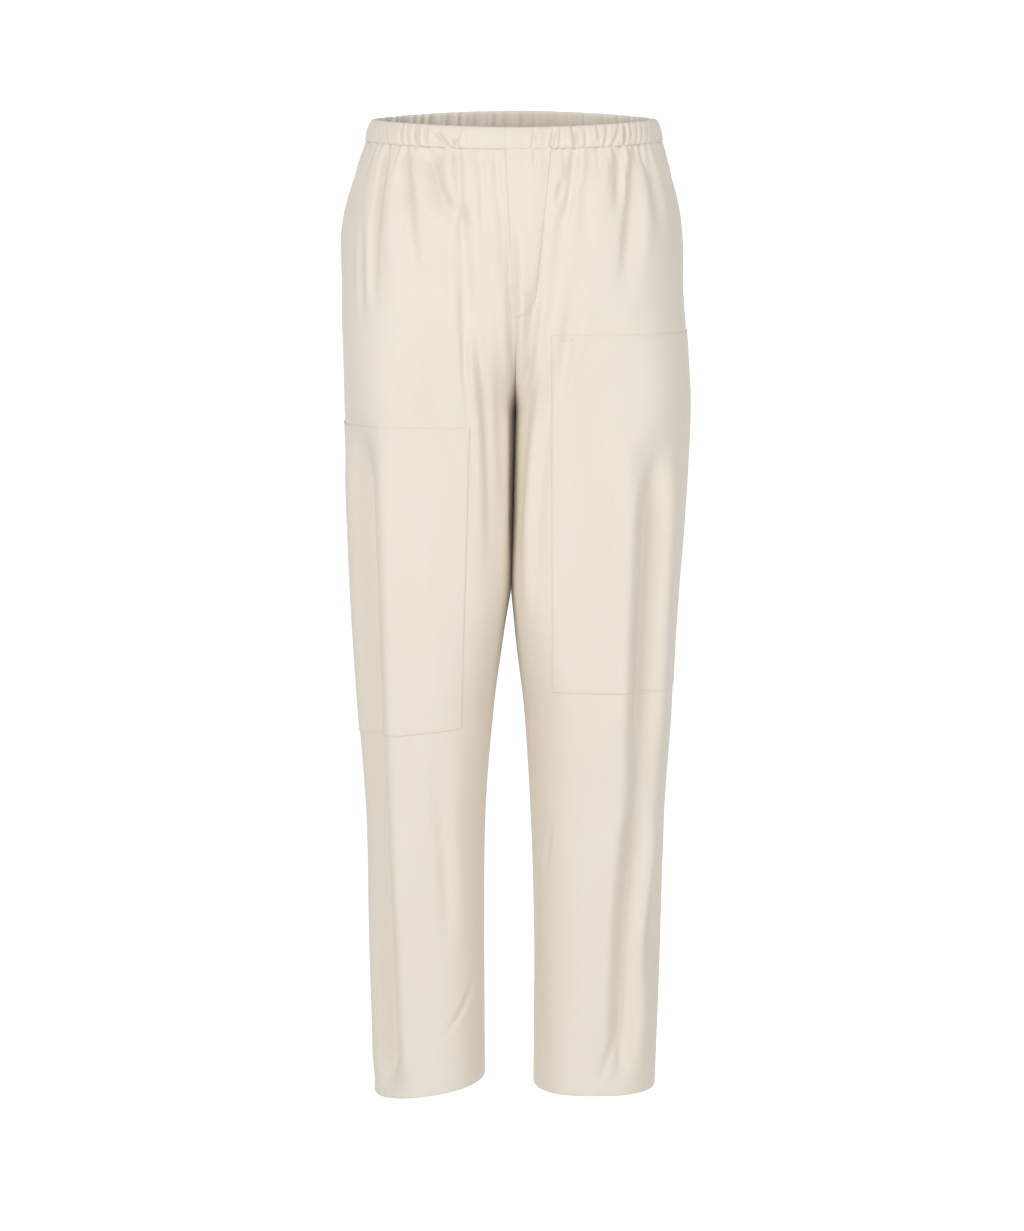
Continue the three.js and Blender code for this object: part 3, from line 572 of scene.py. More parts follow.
def new_piece(name, points, faces, uv=None):
    """A smooth-shaded mesh object from points in millimetres, with a UV map in metres of cloth."""
    mesh = bpy.data.meshes.new(name)
    mesh.vertices.add(len(points))
    mesh.vertices.foreach_set("co", (np.asarray(points, float) * MM).ravel())
    faces = np.asarray(faces)
    mesh.loops.add(faces.size)
    mesh.loops.foreach_set("vertex_index", faces.ravel())
    mesh.polygons.add(len(faces))
    mesh.polygons.foreach_set("loop_start", np.arange(len(faces)) * faces.shape[1])
    mesh.polygons.foreach_set("use_smooth", np.ones(len(faces), bool))
    if uv is not None:
        layer = mesh.uv_layers.new(name="cloth")
        layer.data.foreach_set("uv", np.asarray(uv)[faces.ravel()].ravel())
    mesh.validate()
    mesh.update()
    piece = bpy.data.objects.new(name, mesh)
    bpy.context.scene.collection.objects.link(piece)
    print(name, len(points), "points,", len(faces), "faces")
    return piece


def shell(name, points, uv, outward, closed=False):
    """A thin shell from a grid of outer points: the grid, the grid one thickness further in, and a rim.
    outward is a point's direction that tells the grid's outer side."""
    rows, columns = points.shape[:2]
    if closed:
        normal = grid_normals(np.pad(points, ((0, 0), (1, 1), (0, 0)), mode="wrap"))[:, 1:-1]
    else:
        normal = grid_normals(points)
    flip = np.sum(normal * outward) < 0
    inner = points + normal * (THICKNESS if flip else -THICKNESS)
    count = rows * columns
    face = grid_faces(rows, columns, closed)
    index = np.arange(count).reshape(rows, columns)
    top, foot = index[0], index[-1]
    if closed:
        loops = [np.append(top, top[0])[::-1], np.append(foot, foot[0])]
    else:
        loops = [np.concatenate([top[::-1], index[1:, 0], foot[1:], index[-2::-1, -1]])]
    rims = np.concatenate([rim_faces(loop, count) for loop in loops])
    faces = np.concatenate([face, (face + count)[:, ::-1], rims])
    both = np.concatenate([points.reshape(-1, 3), inner.reshape(-1, 3)])
    return new_piece(name, both, faces[:, ::-1] if flip else faces, np.concatenate([uv.reshape(-1, 2)] * 2))


# %% [markdown]
# A sewn edge is never raw. At a seam both pieces turn in, which makes it a soft groove instead of a crack.
# At a free edge, such as a patch's or a hem's, the cloth folds back under itself. Each edge of a grid gets
# a few more lines that follow such a turn. A line has its distance in from the edge, less than 0 where it
# lies past it, and how deep it is sunk.

# %% Edges of the panels
SEWN = np.array([[-4.0, 2.9], [-1.5, 1.8], [-0.5, 1.0], [0.0, 0.5], [0.5, 0.18], [1.2, 0.04], [2.0, 0.0]])
FOLDED = np.array([[6.0, 1.1], [2.0, 1.1], [0.5, 1.0], [0.05, 0.7], [0.1, 0.3], [0.5, 0.07], [1.2, 0.0]])
TUCKED = np.array([[-4.0, 0.6], [-1.5, 0.5], [0.0, 0.35], [1.0, 0.12], [2.0, 0.0]])  # under the waistband
RAW = np.array([[0.0, 0.0]])  # an edge that stays hidden
FINE_STEP = 2.2
EDGE_ROOM = 0.45  # the share of a width that the lines of one edge may take
NARROWEST_PANEL = 4.0
UV_LEVEL = -400.0  # the level whose girth measures the cloth's width in its UV map


def between(length, first, last, fine):
    """Distances along a line of cloth from one edge to the other, and the depth at each: the first edge's
    lines, an even spread of fine steps, and the last edge's lines in reverse."""
    room = length * EDGE_ROOM
    head = np.minimum(first[..., 0], room)
    tail = length - np.minimum(last[..., ::-1, 0], room)
    inner = head[..., -1:] + np.linspace(0, 1, fine + 1)[1:-1] * (tail[..., :1] - head[..., -1:])
    flat = np.zeros_like(inner)
    sunk = [np.broadcast_to(first[..., 1], head.shape), flat, np.broadcast_to(last[..., ::-1, 1], tail.shape)]
    return np.concatenate([head, inner, tail], axis=-1), np.concatenate(sunk, axis=-1)


def level_lines(top, foot, first, last, fine_to=None, step=4.5):
    """Levels down a panel and the depth at each: rows a fine step apart down to fine_to, then a step."""
    near = [] if fine_to is None else np.arange(top - first[-1, 0] - FINE_STEP, fine_to, -FINE_STEP)
    start = near[-1] if len(near) else top - first[-1, 0]
    count = max(round((start - foot) / step), 2)
    far = np.linspace(start, foot + last[-1, 0], count + 1)[1:-1]
    levels = np.concatenate([top - first[:, 0], near, far, foot + last[::-1, 0]])
    depth = np.concatenate([first[:, 1], np.zeros(len(near) + len(far)), last[::-1, 1]])
    return levels[:, None], depth[:, None]


def panel_spots(side, face, start, end, levels, level_depth, columns, first, last):
    """Turns, depths and how far past the end each spot lies, for a panel between two edges."""
    girth = girth_at(side, face, levels)
    start, end = (np.broadcast_to(edge, levels.shape) for edge in (start, end))
    length = np.maximum((end - start) * girth, NARROWEST_PANEL)
    distance, depth = between(length, first, last, columns)
    turn = start + distance / girth
    past = np.maximum(distance - length, 0)
    return turn, np.maximum(level_depth, depth), past


def cloth_uv(side, face, turn, levels):
    """Metres of cloth: the distance round from the side seam, and the level."""
    around = face * side * turn * girth_at(side, face, np.full_like(levels, UV_LEVEL)) * MM
    return stacked(around, levels * MM)


def panel(name, side, face, start, end, levels, level_depth, columns, first, last, raised=0.0, behind=0.0,
          gape=True):
    """One sheet of cloth between two edges, over the folds, as a shell with its edges turned in."""
    turn, sunk, past = panel_spots(side, face, start, end, levels, level_depth, columns, first, last)
    sunk = sunk + (behind(turn, levels) if callable(behind) else behind)
    points = cloth_point(side, face, turn, levels, raised=raised, sunk=sunk, gape=gape, past=past)
    return shell(name, points, cloth_uv(side, face, turn, levels), form_normal(side, face, turn, levels))


# %% [markdown]
# The fronts lose their upper outer corner to the pocket mouth. The grids are fine enough for a gather two
# millimetres wide near the waist, and the rows are spaced out below, where folds run mostly straight down.

# %% Fronts and backs
pieces = {}


def whole_panel(name, side, face, columns, step):
    """A front or back, from under the waistband to the hem."""
    levels, depth = level_lines(TOP, HEM, TUCKED, FOLDED, fine_to=-84, step=step)
    if face == BACK:
        return panel(name, side, face, 0, 1, levels, depth, columns, SEWN, SEWN)
    open_edge = smooth(levels, POCKET_END - 2, POCKET_END + 8)[..., None]
    first = open_edge * FOLDED + (1 - open_edge) * SEWN
    return panel(name, side, face, pocket_mouth(levels), 1, levels, depth, columns, first, SEWN)


pieces["front_right"] = whole_panel("front_right_cloth", RIGHT, FRONT, 150, 5.0)
pieces["front_left"] = whole_panel("front_left_cloth", LEFT, FRONT, 150, 5.0)
pieces["back_right"] = whole_panel("back_right_cloth", RIGHT, BACK, 120, 6.0)
pieces["back_left"] = whole_panel("back_left_cloth", LEFT, BACK, 120, 6.0)

# %% [markdown]
# A slanted pocket shows its facing: the piece of the same cloth that closes the pocket behind the mouth.
# It is sewn level with the back at the side seam, and sinks behind the front towards the mouth.

# %% Pocket facings
FACING_END = -154
FACING_BEHIND = 16  # how far the facing reaches past the mouth
FACING_SUNK = 2.4
NARROWEST = 0.004  # the least turn of a mouth


def pocket_facing(name, side):
    """The facing: level with the cloth at the side seam, and sunk by two layers behind the mouth."""
    levels, depth = level_lines(TOP, FACING_END, TUCKED, RAW, fine_to=-60)
    mouth = np.maximum(pocket_mouth(levels), NARROWEST)
    end = mouth + FACING_BEHIND / girth_at(side, FRONT, levels)

    def behind(turn, level):
        return FACING_SUNK * smooth(turn, 0, np.maximum(pocket_mouth(level), NARROWEST) * 0.9)

    return panel(name, side, FRONT, 0, end, levels, depth, 40, SEWN, RAW, behind=behind, gape=False)


pieces["pocket_facing_right"] = pocket_facing("pocket_facing_right_cloth", RIGHT)
pieces["pocket_facing_left"] = pocket_facing("pocket_facing_left_cloth", LEFT)

# %% [markdown]
# Each knee carries a long patch that reaches from its inner edge to the side seam. The left one starts
# high on the thigh, and the right one lower and narrower. A patch follows every fold beneath it, raised.

# %% Knee patches
PATCHES = {
    LEFT: {"across": (36, 37), "top": -202, "foot": -564},
    RIGHT: {"across": (-46, -55), "top": -295, "foot": -605},
}
PATCH_RAISED = 0.9


def patch_edge(side, level):
    """The turn of a patch's inner edge, which slants a little down the leg."""
    patch = PATCHES[side]
    down = np.clip((patch["top"] - level) / (patch["top"] - patch["foot"]), 0, 1)
    across = patch["across"][0] + down * (patch["across"][1] - patch["across"][0])
    return turn_at(side, FRONT, across, level)


PATCH_TOP_EDGE = FOLDED * [1, 0.45]
PATCH_FOOT_EDGE = FOLDED * [1, 1.3]
PATCH_SIDE_EDGE = SEWN * [1, 1.5]


def knee_patch(name, side):
    """The patch, from the side seam in to its inner edge, raised over the front."""
    top, foot = PATCHES[side]["top"], PATCHES[side]["foot"]
    levels, depth = level_lines(top, foot, PATCH_TOP_EDGE, PATCH_FOOT_EDGE, step=4.0)
    return panel(name, side, FRONT, 0, patch_edge(side, levels), levels, depth, 110, PATCH_SIDE_EDGE, FOLDED,
                 raised=PATCH_RAISED)


pieces["knee_patch_right"] = knee_patch("knee_patch_right_cloth", RIGHT)
pieces["knee_patch_left"] = knee_patch("knee_patch_left_cloth", LEFT)

# %% [markdown]
# The mock fly is a flap that laps from the left front over the right, held by stitches in the shape of a
# J. It is one grid that crosses the middle: its columns are millimetres across the garment, and each
# point takes the side that it falls on.

# %% Mock fly
FLY_END = -184
FLY_CURVE = 20
FLY_WIDTH, FLY_FOOT_WIDTH, FLY_TOE = 35, 18, 4
FLY_LAP, FLY_LAP_FOOT = 10, 1.5
FLY_RAISED = 0.9


def fly_edges(level):
    """How far the fly reaches over the left front, and over the right, in millimetres."""
    down = np.clip((TOP - level) / (TOP - FLY_END), 0, 1)
    lap = FLY_LAP + down * (FLY_LAP_FOOT - FLY_LAP)
    straight = FLY_WIDTH + down * (FLY_FOOT_WIDTH - FLY_WIDTH)
    rounding = np.clip((FLY_END + FLY_CURVE - level) / FLY_CURVE, 0, 1)
    return np.maximum(straight * np.sqrt(1 - rounding**2), FLY_TOE), lap


def mock_fly(name):
    """The fly, from its stitched edge on the left to its folded edge on the right."""
    levels, level_depth = level_lines(TOP, FLY_END, TUCKED, FOLDED, fine_to=FLY_END + 4)
    stitched, lap = fly_edges(levels)
    distance, depth = between(stitched + lap, FOLDED, FOLDED, 44)
    across = stitched - distance
    side = np.where(across > 0, LEFT, RIGHT)
    level = np.broadcast_to(levels, side.shape)
    turn = turn_at(side, FRONT, across, level)
    face = np.full(side.shape, FRONT)
    points = cloth_point(side, face, turn, level, raised=FLY_RAISED, sunk=np.maximum(level_depth, depth))
    uv = stacked(across, level) * MM
    return shell(name, points, uv, form_normal(side, face, turn, level))


pieces["mock_fly"] = mock_fly("mock_fly_cloth")

# %% [markdown]
# A hem is the end of the leg, turned up inside and stitched. From outside only its stitches show, but
# from below the turning itself does, so it is there as a second ring.

# %% Hem turnings
HEM_SUNK = 2.0
HEM_COLUMNS = 110  # to a quarter
# Height above the hem of each row of the turning, and how much deeper it is sunk
HEM_ROWS = np.array([[HEM_TURNING, 0.3], [HEM_TURNING - 1, 0], [30, 0], [18, 0], [8, 0], [2, 0], [0.6, 0.2]])
QUARTER_CLOTH = 0.25  # metres of cloth that a quarter of a ring counts as in its UV map


def ring_uv(side, face, turn, level):
    """Metres of cloth on a piece that runs all round: the front from the side seam one way, and the back
    the other way, by the level."""
    return stacked(side * (1 + face * turn) * QUARTER_CLOTH, level * MM)


def hem_turning(name, side):
    """A ring round the inside of a leg: the front's turns, then the back's turns the other way."""
    share = np.linspace(0, 1, HEM_COLUMNS, endpoint=False)
    turn = np.concatenate([share, 1 - share])[None, :]
    face = np.repeat([FRONT, BACK], HEM_COLUMNS)[None, :]
    turn, face, level = np.broadcast_arrays(turn, face, HEM + HEM_ROWS[:, :1])
    depth = HEM_ROWS[:, 1:]
    points = cloth_point(side, face, turn, level, sunk=HEM_SUNK + depth)
    uv = ring_uv(side, face, turn, level)
    return shell(name, points, uv, form_normal(side, face, turn, level), closed=True)


pieces["hem_right"] = hem_turning("hem_right_cloth", RIGHT)
pieces["hem_left"] = hem_turning("hem_left_cloth", LEFT)

# %% [markdown]
# The waistband is a strip of cloth folded over an elastic and gathered by it. Its section is a flat loop
# with a rounded top and foot, carried round the waist. Between two creases it pillows out. The front's
# creases are uneven: some lean, some cross and some only reach half way up, so each is a table's row.

# %% Waistband
BAND_PROUD = 1.0
CASING = 3.0
BAND_COLUMNS = 280  # to a quarter
BAND_ROWS = 17  # to a face
BAND_INSET = 0.3
BAND_ROUNDING = 1.1
PILLOW = 0.9
PINCH_FADE = 0.3  # share by which the creases weaken towards the top edge
# Each crease: x at its foot and head, how deep and wide it is, and from which share of the height to which
BAND_CREASES = [
    (-136, -136, 1.0, 1.6, 0, 1), (-127.7, -127.7, 1.2, 1.3, 0, 1), (-113.8, -111.8, 1.3, 1.8, 0.1, 1),
    (-107, -107, 0.8, 1.2, 0, 1), (-98, -97.5, 2.4, 2.2, 0, 1), (-89, -88, 1.5, 1.8, 0, 1),
    (-66, -84, 2.4, 2.4, 0, 0.65), (-60, -55, 1.2, 2.0, 0, 1), (-58, -63, 1.6, 2.0, 0, 0.4),
    (-46, -44, 0.8, 2.0, 0, 0.7), (-8.4, -8.4, 0.6, 2.0, 0, 1), (17.4, 19.4, 1.3, 2.0, 0, 0.9),
    (30, 33, 1.0, 3.5, 0, 0.8), (35, 39, 1.8, 1.8, 0, 0.9), (44, 44, 0.9, 1.3, 0, 1),
    (60, 57, 2.8, 2.2, 0, 1), (70, 69, 0.8, 1.6, 0, 0.8), (82.5, 81, 1.6, 1.6, 0.3, 1),
    (88, 91, 1.4, 1.6, 0, 1), (96, 103, 1.5, 1.8, 0, 1), (107.8, 107.3, 2.2, 1.6, 0, 1),
    (113.8, 113.4, 1.4, 1.3, 0.3, 1), (119.8, 119.8, 0.9, 1.4, 0, 1), (124.7, 124.7, 1.0, 1.4, 0, 1),
    (130.7, 130.7, 1.2, 1.5, 0, 1),
]


def crease_relief(side, face, turn, level):
    """The sum of the front's creases: each is a trough between two low ridges along a leaning line."""
    up = (level + HALF_BAND) / (2 * HALF_BAND)
    relief = np.zeros(level.shape)
    for x_foot, x_head, deep, wide, low, high in BAND_CREASES:
        home_side = RIGHT if x_foot < 0 else LEFT
        home_turn = turn_at(home_side, FRONT, x_foot + up * (x_head - x_foot), level)
        starts = smooth(up, low - 0.1, low + 0.1) if low else 1
        lasting = starts * (1 - smooth(up, high - 0.1, high + 0.1)) if high < 1 else starts
        away = distance_along(home_side, FRONT, home_turn, side, face, turn, level) / wide
        relief = relief + deep * lasting * trough(away, BAND_RIDGE)
    return relief


def waistband(name):
    """A closed section carried round the waist: up the outside and down the inside."""
    share = np.linspace(0, 1, BAND_COLUMNS, endpoint=False)
    turn = np.concatenate([1 - share, share, 1 - share, share])[None, :]
    side = np.repeat([LEFT, LEFT, RIGHT, RIGHT], BAND_COLUMNS)[None, :]
    face = np.repeat([FRONT, BACK, BACK, FRONT], BAND_COLUMNS)[None, :]
    up = np.linspace(0, 1, BAND_ROWS)
    rise = BAND_INSET - HALF_BAND + up * 2 * (HALF_BAND - BAND_INSET)
    bulge = BAND_ROUNDING * np.abs(2 * up - 1) ** 6
    outward = np.concatenate([BAND_PROUD - bulge, BAND_PROUD - CASING + bulge])
    bow = np.concatenate([np.sin(math.pi * up), np.zeros(BAND_ROWS)])
    level = np.concatenate([rise, -rise])[:, None]
    level, turn, side, face = np.broadcast_arrays(level, turn, side, face)
    pinch = gather_relief(back_gathered, side, face, turn, np.full(level.shape, TOP))
    pinch = pinch + crease_relief(side, face, turn, level)
    pillow = PILLOW * bow[:, None] * (1 + np.tanh(pinch + 1.0))
    firm = 1 - PINCH_FADE * np.maximum(level, 0) / HALF_BAND
    relief = pinch * firm + pillow + outward[:, None]
    point = form_point(side, face, turn, level) + form_normal(side, face, turn, level) * relief[..., None]
    index = np.pad(np.arange(level.size).reshape(level.shape), (0, 1), mode="wrap")
    corners = [index[:-1, :-1], index[:-1, 1:], index[1:, 1:], index[1:, :-1]]
    faces = np.stack(corners, axis=-1).reshape(-1, 4)
    uv = ring_uv(side, face, turn, level)
    return new_piece(name, point.reshape(-1, 3), faces, uv.reshape(-1, 2))


pieces["waistband"] = waistband("waistband_cloth")

# %% [markdown]
# A material is a tree of shader nodes. Written out one by one, each takes several lines, so three short
# helpers make them: any node with its values, a noise texture on scaled coordinates, and a colour mix.

# %% Helpers for shader nodes


def node(tree, kind, **values):
    """A shader node with its inputs and properties set by name. An underscore stands for a space."""
    made = tree.nodes.new(kind)
    for key, value in values.items():
        socket = key.replace("_", " ")
        if socket in made.inputs:
            made.inputs[socket].default_value = value
        else:
            setattr(made, key, value)
    return made


def noise(tree, source, scale, detail, roughness):
    """A noise texture over scaled coordinates."""
    place = node(tree, "ShaderNodeMapping", Scale=scale)
    tree.links.new(source, place.inputs[0])
    made = node(tree, "ShaderNodeTexNoise", Scale=1.0, Detail=detail, Roughness=roughness)
    tree.links.new(place.outputs[0], made.inputs["Vector"])
    return made


def mixed(tree, first, second):
    """A colour mix. Its inputs go by number because several share a name: 0 is the factor, 6 and 7 are the
    colours and output 2 is the result. A colour that is None is linked later."""
    made = node(tree, "ShaderNodeMix", data_type="RGBA")
    for socket, colour in ((6, first), (7, second)):
        if colour:
            made.inputs[socket].default_value = (*colour, 1)
    return made


# %% [markdown]
# The cloth is a fine ivory twill, soft and a little lustrous. Its threads are far thinner than a pixel,
# so they show as a faint diagonal texture close up and as a gentle sheen from afar. One shader layers the
# twill as bump from two wave textures in the cloth's own UVs, the slow change of tone and the odd thick
# thread from noise stretched along the threads, and the lustre from sheen and roughness.

# %% Ivory twill
CLOTH_COLOUR = (0.80, 0.735, 0.635)
CLOTH_SHADE = (0.74, 0.67, 0.57)
SLUB_COLOUR = (0.86, 0.80, 0.71)
RIB_SLANT = math.radians(63)


def cloth_material(name, colour, shade, thread_turn=0.0):
    """The twill. thread_turn turns the weave, as on a piece cut across the cloth."""
    material = bpy.data.materials.new(name)
    material.use_nodes = True
    tree = material.node_tree
    tree.nodes.clear()
    link = tree.links.new
    out = node(tree, "ShaderNodeOutputMaterial")
    cloth = node(tree, "ShaderNodeBsdfPrincipled", Roughness=0.52, Specular_IOR_Level=0.35,
                 Sheen_Weight=0.25, Sheen_Roughness=0.45, Sheen_Tint=(1.0, 0.97, 0.92, 1))
    link(cloth.outputs[0], out.inputs[0])

    place = node(tree, "ShaderNodeUVMap", uv_map="cloth")
    threads = node(tree, "ShaderNodeMapping", Rotation=(0, 0, thread_turn))
    link(place.outputs[0], threads.inputs[0])

    # Slow tone: cloudy patches about 4 cm across, drawn out down the leg
    tone = noise(tree, threads.outputs[0], (26, 9, 1), 3.0, 0.5)
    tone_range = node(tree, "ShaderNodeMapRange", From_Min=0.3, From_Max=0.7)
    link(tone.outputs[0], tone_range.inputs[0])
    soft_tone = node(tree, "ShaderNodeMapRange", To_Min=0.72)
    link(tone_range.outputs[0], soft_tone.inputs[0])
    base = mixed(tree, shade, colour)
    link(soft_tone.outputs[0], base.inputs[0])

    # Single threads: fine streaks along the warp
    streak = noise(tree, threads.outputs[0], (900, 14, 1), 2.0, 0.6)
    slub_mask = node(tree, "ShaderNodeMapRange", From_Min=0.60, From_Max=0.85, To_Max=0.5)
    link(streak.outputs[0], slub_mask.inputs[0])
    coloured = mixed(tree, None, SLUB_COLOUR)
    link(slub_mask.outputs[0], coloured.inputs[0])
    link(base.outputs[2], coloured.inputs[6])
    link(coloured.outputs[2], cloth.inputs["Base Color"])

    # The twill's diagonal ribs and the finer thread across them
    twill_place = node(tree, "ShaderNodeMapping", Rotation=(0, 0, RIB_SLANT + thread_turn))
    link(place.outputs[0], twill_place.inputs[0])
    twill = node(tree, "ShaderNodeTexWave", Scale=225.0, Distortion=0.6, Detail=1.0)
    link(twill_place.outputs[0], twill.inputs["Vector"])
    thread = node(tree, "ShaderNodeTexWave", Scale=420.0, Distortion=0.4, Detail=1.0)
    link(threads.outputs[0], thread.inputs["Vector"])
    woven = node(tree, "ShaderNodeMath", operation="MULTIPLY_ADD")
    woven.inputs[1].default_value = 0.4
    link(thread.outputs[1], woven.inputs[0])
    link(twill.outputs[1], woven.inputs[2])
    height = node(tree, "ShaderNodeMath", operation="ADD")
    link(woven.outputs[0], height.inputs[0])
    link(streak.outputs[0], height.inputs[1])
    bump = node(tree, "ShaderNodeBump", Strength=0.22, Distance=0.0004)
    link(height.outputs[0], bump.inputs["Height"])
    link(bump.outputs[0], cloth.inputs["Normal"])
    return material


ivory = cloth_material("ivory_twill", CLOTH_COLOUR, CLOTH_SHADE)
ivory_band = cloth_material("ivory_twill_crosswise", CLOTH_COLOUR, CLOTH_SHADE, thread_turn=math.pi / 2)
print("nodes of the twill:", len(ivory.node_tree.nodes))

# %% [markdown]
# Every stitched line holds two layers together and shows as a row of short threads. A stitch is one small
# closed spindle of a few faces. All stitches of a line are made in one array: each takes its place and
# direction from the cloth it lies on, and the lines are joined into one mesh a panel.

# %% One stitch, and a line of them
STITCH_LONG = 2.3
STITCH_PITCH = 3.0
STITCH_THICK = 0.32
STITCH_LIFT = 0.02
SPINDLE_RINGS = np.array([[-0.5, 0.35], [-0.3, 0.9], [0.0, 1.0], [0.3, 0.9], [0.5, 0.35]])
SPINDLE_SIDES = 5


def spindle():
    """Points and faces of one stitch along X, unit long and unit thick."""
    angle = np.arange(SPINDLE_SIDES) / SPINDLE_SIDES * math.tau
    rings = [np.stack([np.full(SPINDLE_SIDES, at), fat * np.cos(angle) / 2, fat * np.sin(angle) / 2], axis=1)
             for at, fat in SPINDLE_RINGS]
    quads = grid_faces(len(rings), SPINDLE_SIDES, closed=True)
    return np.concatenate(rings), quads[:, ::-1]


def stitch_line(path, normal):
    """Stitches at an even pitch along a path of points, each lying in the cloth's surface."""
    step = np.linalg.norm(np.diff(path, axis=0), axis=1)
    along = np.concatenate([[0], np.cumsum(step)])
    centres = np.arange(STITCH_PITCH, along[-1] - STITCH_PITCH, STITCH_PITCH)

    def at(distance, values):
        return np.stack([np.interp(distance, along, values[:, k]) for k in range(3)], axis=1)

    place = at(centres, path)
    forward = unit(at(centres + STITCH_LONG / 2, path) - at(centres - STITCH_LONG / 2, path))
    up = at(centres, normal)
    up = unit(up - forward * np.sum(up * forward, axis=1, keepdims=True))
    sideways = np.cross(up, forward)
    points, quads = spindle()
    body = (place[:, None] + forward[:, None] * points[None, :, :1] * STITCH_LONG
            + sideways[:, None] * points[None, :, 1:2] * STITCH_THICK
            + up[:, None] * (points[None, :, 2:] * STITCH_THICK + STITCH_LIFT))
    faces = quads[None] + (np.arange(len(centres)) * len(points))[:, None, None]
    return body.reshape(-1, 3), faces.reshape(-1, 4)


def line_on_cloth(side, turn, level, raised=0.0, face=FRONT):
    """Stitches along a line of given turns and levels."""
    side, face = np.full(level.shape, side), np.full(level.shape, face)
    points = cloth_point(side, face, turn, level, raised=raised)
    return stitch_line(points, form_normal(side, face, turn, level))


def join_lines(name, lines):
    """One mesh from several lines of stitches."""
    points = np.concatenate([body for body, quads in lines])
    starts = np.cumsum([0] + [len(body) for body, quads in lines])
    faces = np.concatenate([quads + start for (body, quads), start in zip(lines, starts)])
    return new_piece(name, points, faces, points[:, [0, 2]] * MM)


print("faces of one stitch:", len(spindle()[1]))

# %% [markdown]
# The stitched lines follow the edges of the pieces that they hold: round each patch, down the fly in a J,
# twice beside each pocket mouth, and round each hem. Each function lays a path a little inside its edge.

# %% Rows of stitches
PATCH_INSET = 2.2  # how far each line lies inside its edge
FLY_INSET = 3.0
POCKET_INSETS = (1.8, 7.0)
DOWN_POINTS = 300  # points of a path down a panel
ACROSS_POINTS = 200
FLY_POINTS = 400
HEM_POINTS = 250


def patch_stitches(name, side):
    """The line round a patch, inside its top, inner and bottom edges."""
    top, foot = PATCHES[side]["top"] - PATCH_INSET, PATCHES[side]["foot"] + PATCH_INSET
    down = np.linspace(top, foot, DOWN_POINTS)
    inner = patch_edge(side, down) - PATCH_INSET / girth_at(side, FRONT, down)
    lines = [line_on_cloth(side, inner, down, PATCH_RAISED)]
    for level in (float(top), float(foot)):
        turn = np.linspace(NARROWEST, float(patch_edge(side, np.array(level))), ACROSS_POINTS)
        lines.append(line_on_cloth(side, turn, np.full(ACROSS_POINTS, level), PATCH_RAISED))
    return join_lines(name, lines)


def fly_stitches(name):
    """The J-shaped line that holds the fly, inside its stitched edge."""
    level = np.linspace(TOP - 2, FLY_END + 3, FLY_POINTS)
    across = np.maximum(fly_edges(level)[0] - FLY_INSET, 0.5)
    return join_lines(name, [line_on_cloth(LEFT, turn_at(LEFT, FRONT, across, level), level, FLY_RAISED)])


def pocket_stitches(name, side):
    """Two lines beside the pocket mouth."""
    level = np.linspace(TOP - 2, POCKET_END + 6, DOWN_POINTS)
    girth = girth_at(side, FRONT, level)
    turns = [pocket_mouth(level) + inset / girth for inset in POCKET_INSETS]
    return join_lines(name, [line_on_cloth(side, turn, level) for turn in turns])


def hem_stitches(name, side):
    """The line round a hem, where the turning ends."""
    turn = np.linspace(0, 1, HEM_POINTS)
    level = np.full(HEM_POINTS, float(HEM + HEM_TURNING - 2))
    return join_lines(name, [line_on_cloth(side, turn, level, face=face) for face in (FRONT, BACK)])


stitches = {
    "knee_patch_right": patch_stitches("stitches_patch_right", RIGHT),
    "knee_patch_left": patch_stitches("stitches_patch_left", LEFT),
    "mock_fly": fly_stitches("stitches_fly"),
    "front_right": pocket_stitches("stitches_pocket_right", RIGHT),
    "front_left": pocket_stitches("stitches_pocket_left", LEFT),
    "hem_right": hem_stitches("stitches_hem_right", RIGHT),
    "hem_left": hem_stitches("stitches_hem_left", LEFT),
}
print(sum(len(piece.data.polygons) for piece in stitches.values()) * 2, "triangles of stitches")

# %% [markdown]
# Each shell now takes over from its solid and gets its material.

for name, piece in pieces.items():
    piece.data.materials.append(ivory_band if name == "waistband" else ivory)
    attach(piece, "root")
    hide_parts(name)

for name, piece in stitches.items():
    piece.data.materials.append(ivory)
    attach(piece, "root")

print(len(pieces), "pieces of cloth and", len(stitches), "rows of stitches")

# %% [markdown]
# The garment hangs over a plain pale floor. A floor that ends at a wall would draw a line behind it, so
# floor and backdrop are one sheet that bends up in a quarter circle far behind.

# %% Floor and backdrop
FLOOR_LEVEL = -1.052
SWEEP_RADIUS = 2.5
SWEEP_BACK = 5.0
SWEEP_FRONT = -8.0
SWEEP_TOP = 8.0
SWEEP_HALF_WIDTH = 9.0


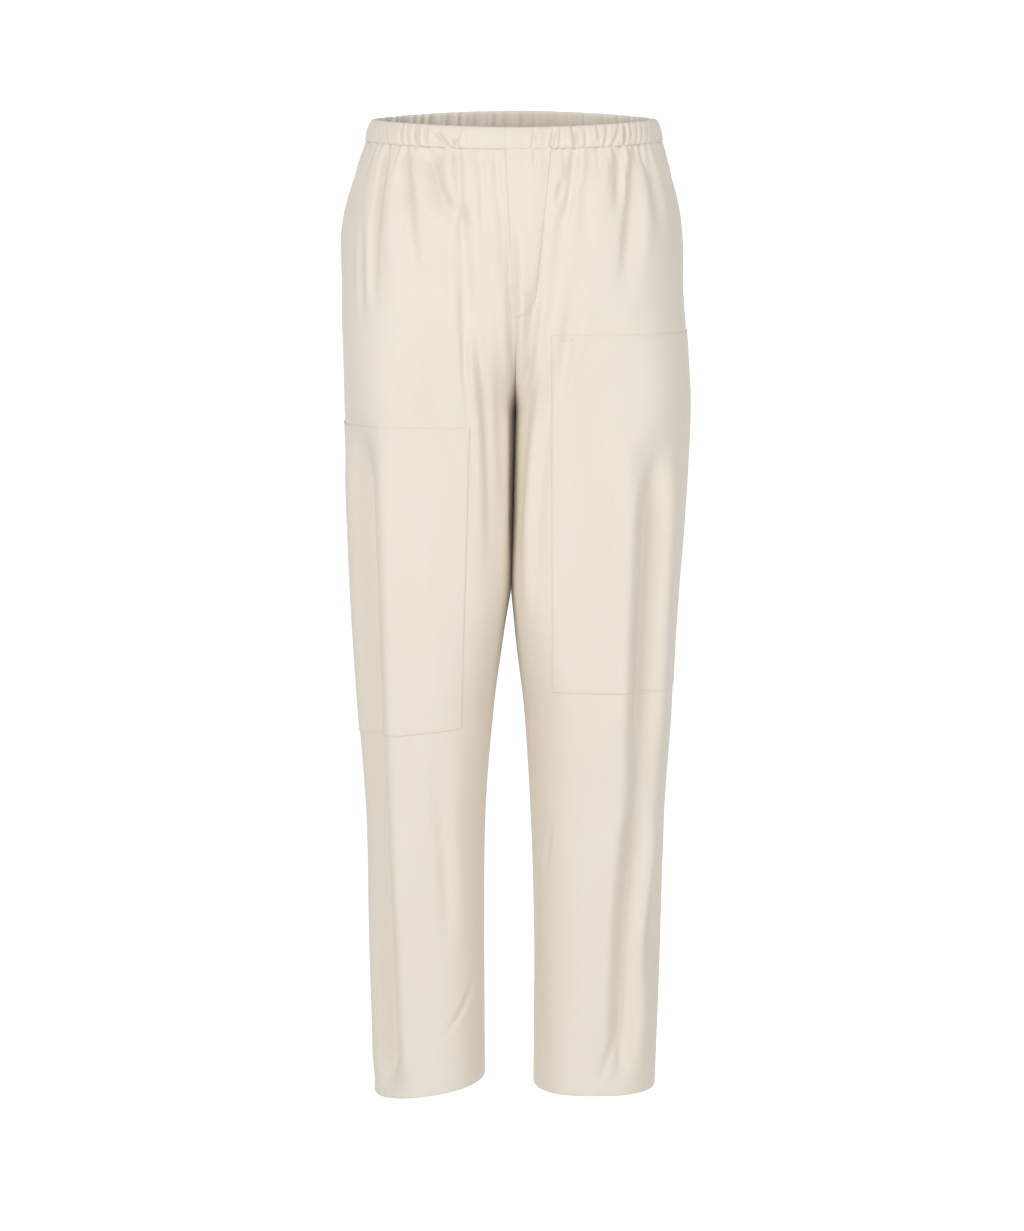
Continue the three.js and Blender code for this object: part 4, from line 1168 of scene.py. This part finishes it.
def studio_sweep(name):
    """Floor and backdrop in one sheet: flat, then a quarter circle up, then straight up."""
    bend = np.linspace(0, QUARTER, 24)
    y = np.concatenate([[SWEEP_FRONT], SWEEP_BACK + SWEEP_RADIUS * np.sin(bend), [SWEEP_BACK + SWEEP_RADIUS]])
    z = np.concatenate([[0], SWEEP_RADIUS * (1 - np.cos(bend)), [SWEEP_TOP]]) + FLOOR_LEVEL
    x = np.array([-SWEEP_HALF_WIDTH, SWEEP_HALF_WIDTH])
    points = stacked(x[None, :], y[:, None], z[:, None]) / MM
    return new_piece(name, points.reshape(-1, 3), grid_faces(len(y), 2)[:, ::-1])


floor = studio_sweep("studio_sweep")
pale = bpy.data.materials.new("pale_studio")
pale.use_nodes = True
pale_shader = pale.node_tree.nodes["Principled BSDF"]
pale_shader.inputs["Base Color"].default_value = (0.9, 0.9, 0.9, 1)
pale_shader.inputs["Roughness"].default_value = 0.9
pale_shader.inputs["Emission Color"].default_value = (1, 1, 1, 1)
pale_shader.inputs["Emission Strength"].default_value = 0.6
floor.data.materials.append(pale)
floor.visible_diffuse = False  # the backdrop shows, but throws no light back on the cloth's sides

# %% [markdown]
# Soft light keeps the folds gentle. A large light beside the camera is the stronger one, a weaker one
# stands on the other side, and the surround is even, so that shade comes only from the cloth turning away.

# %% Lights and surround
LIGHT_AIM = (0, 0, -0.6)
LIGHT_SIZE = 2.4
SURROUND_STRENGTH = 0.5


def soft_light(name, place, power):
    """A large square area light, aimed at the middle of the garment."""
    data = bpy.data.lights.new(name, "AREA")
    data.size = LIGHT_SIZE
    data.energy = power
    light = bpy.data.objects.new(name, data)
    light.location = place
    light.rotation_euler = (Vector(LIGHT_AIM) - Vector(place)).to_track_quat("-Z", "Y").to_euler()
    bpy.context.scene.collection.objects.link(light)
    print(name, "of", power, "watts")


soft_light("key_light", place=(-2.4, -3.5, 0.8), power=85)
soft_light("fill_light", place=(2.7, -3.3, 0.3), power=58)

bpy.context.scene.view_settings.view_transform = "Standard"
world = bpy.data.worlds.new("studio")
bpy.context.scene.world = world
world.use_nodes = True
world.node_tree.nodes["Background"].inputs[0].default_value = (1, 1, 1, 1)
world.node_tree.nodes["Background"].inputs[1].default_value = SURROUND_STRENGTH
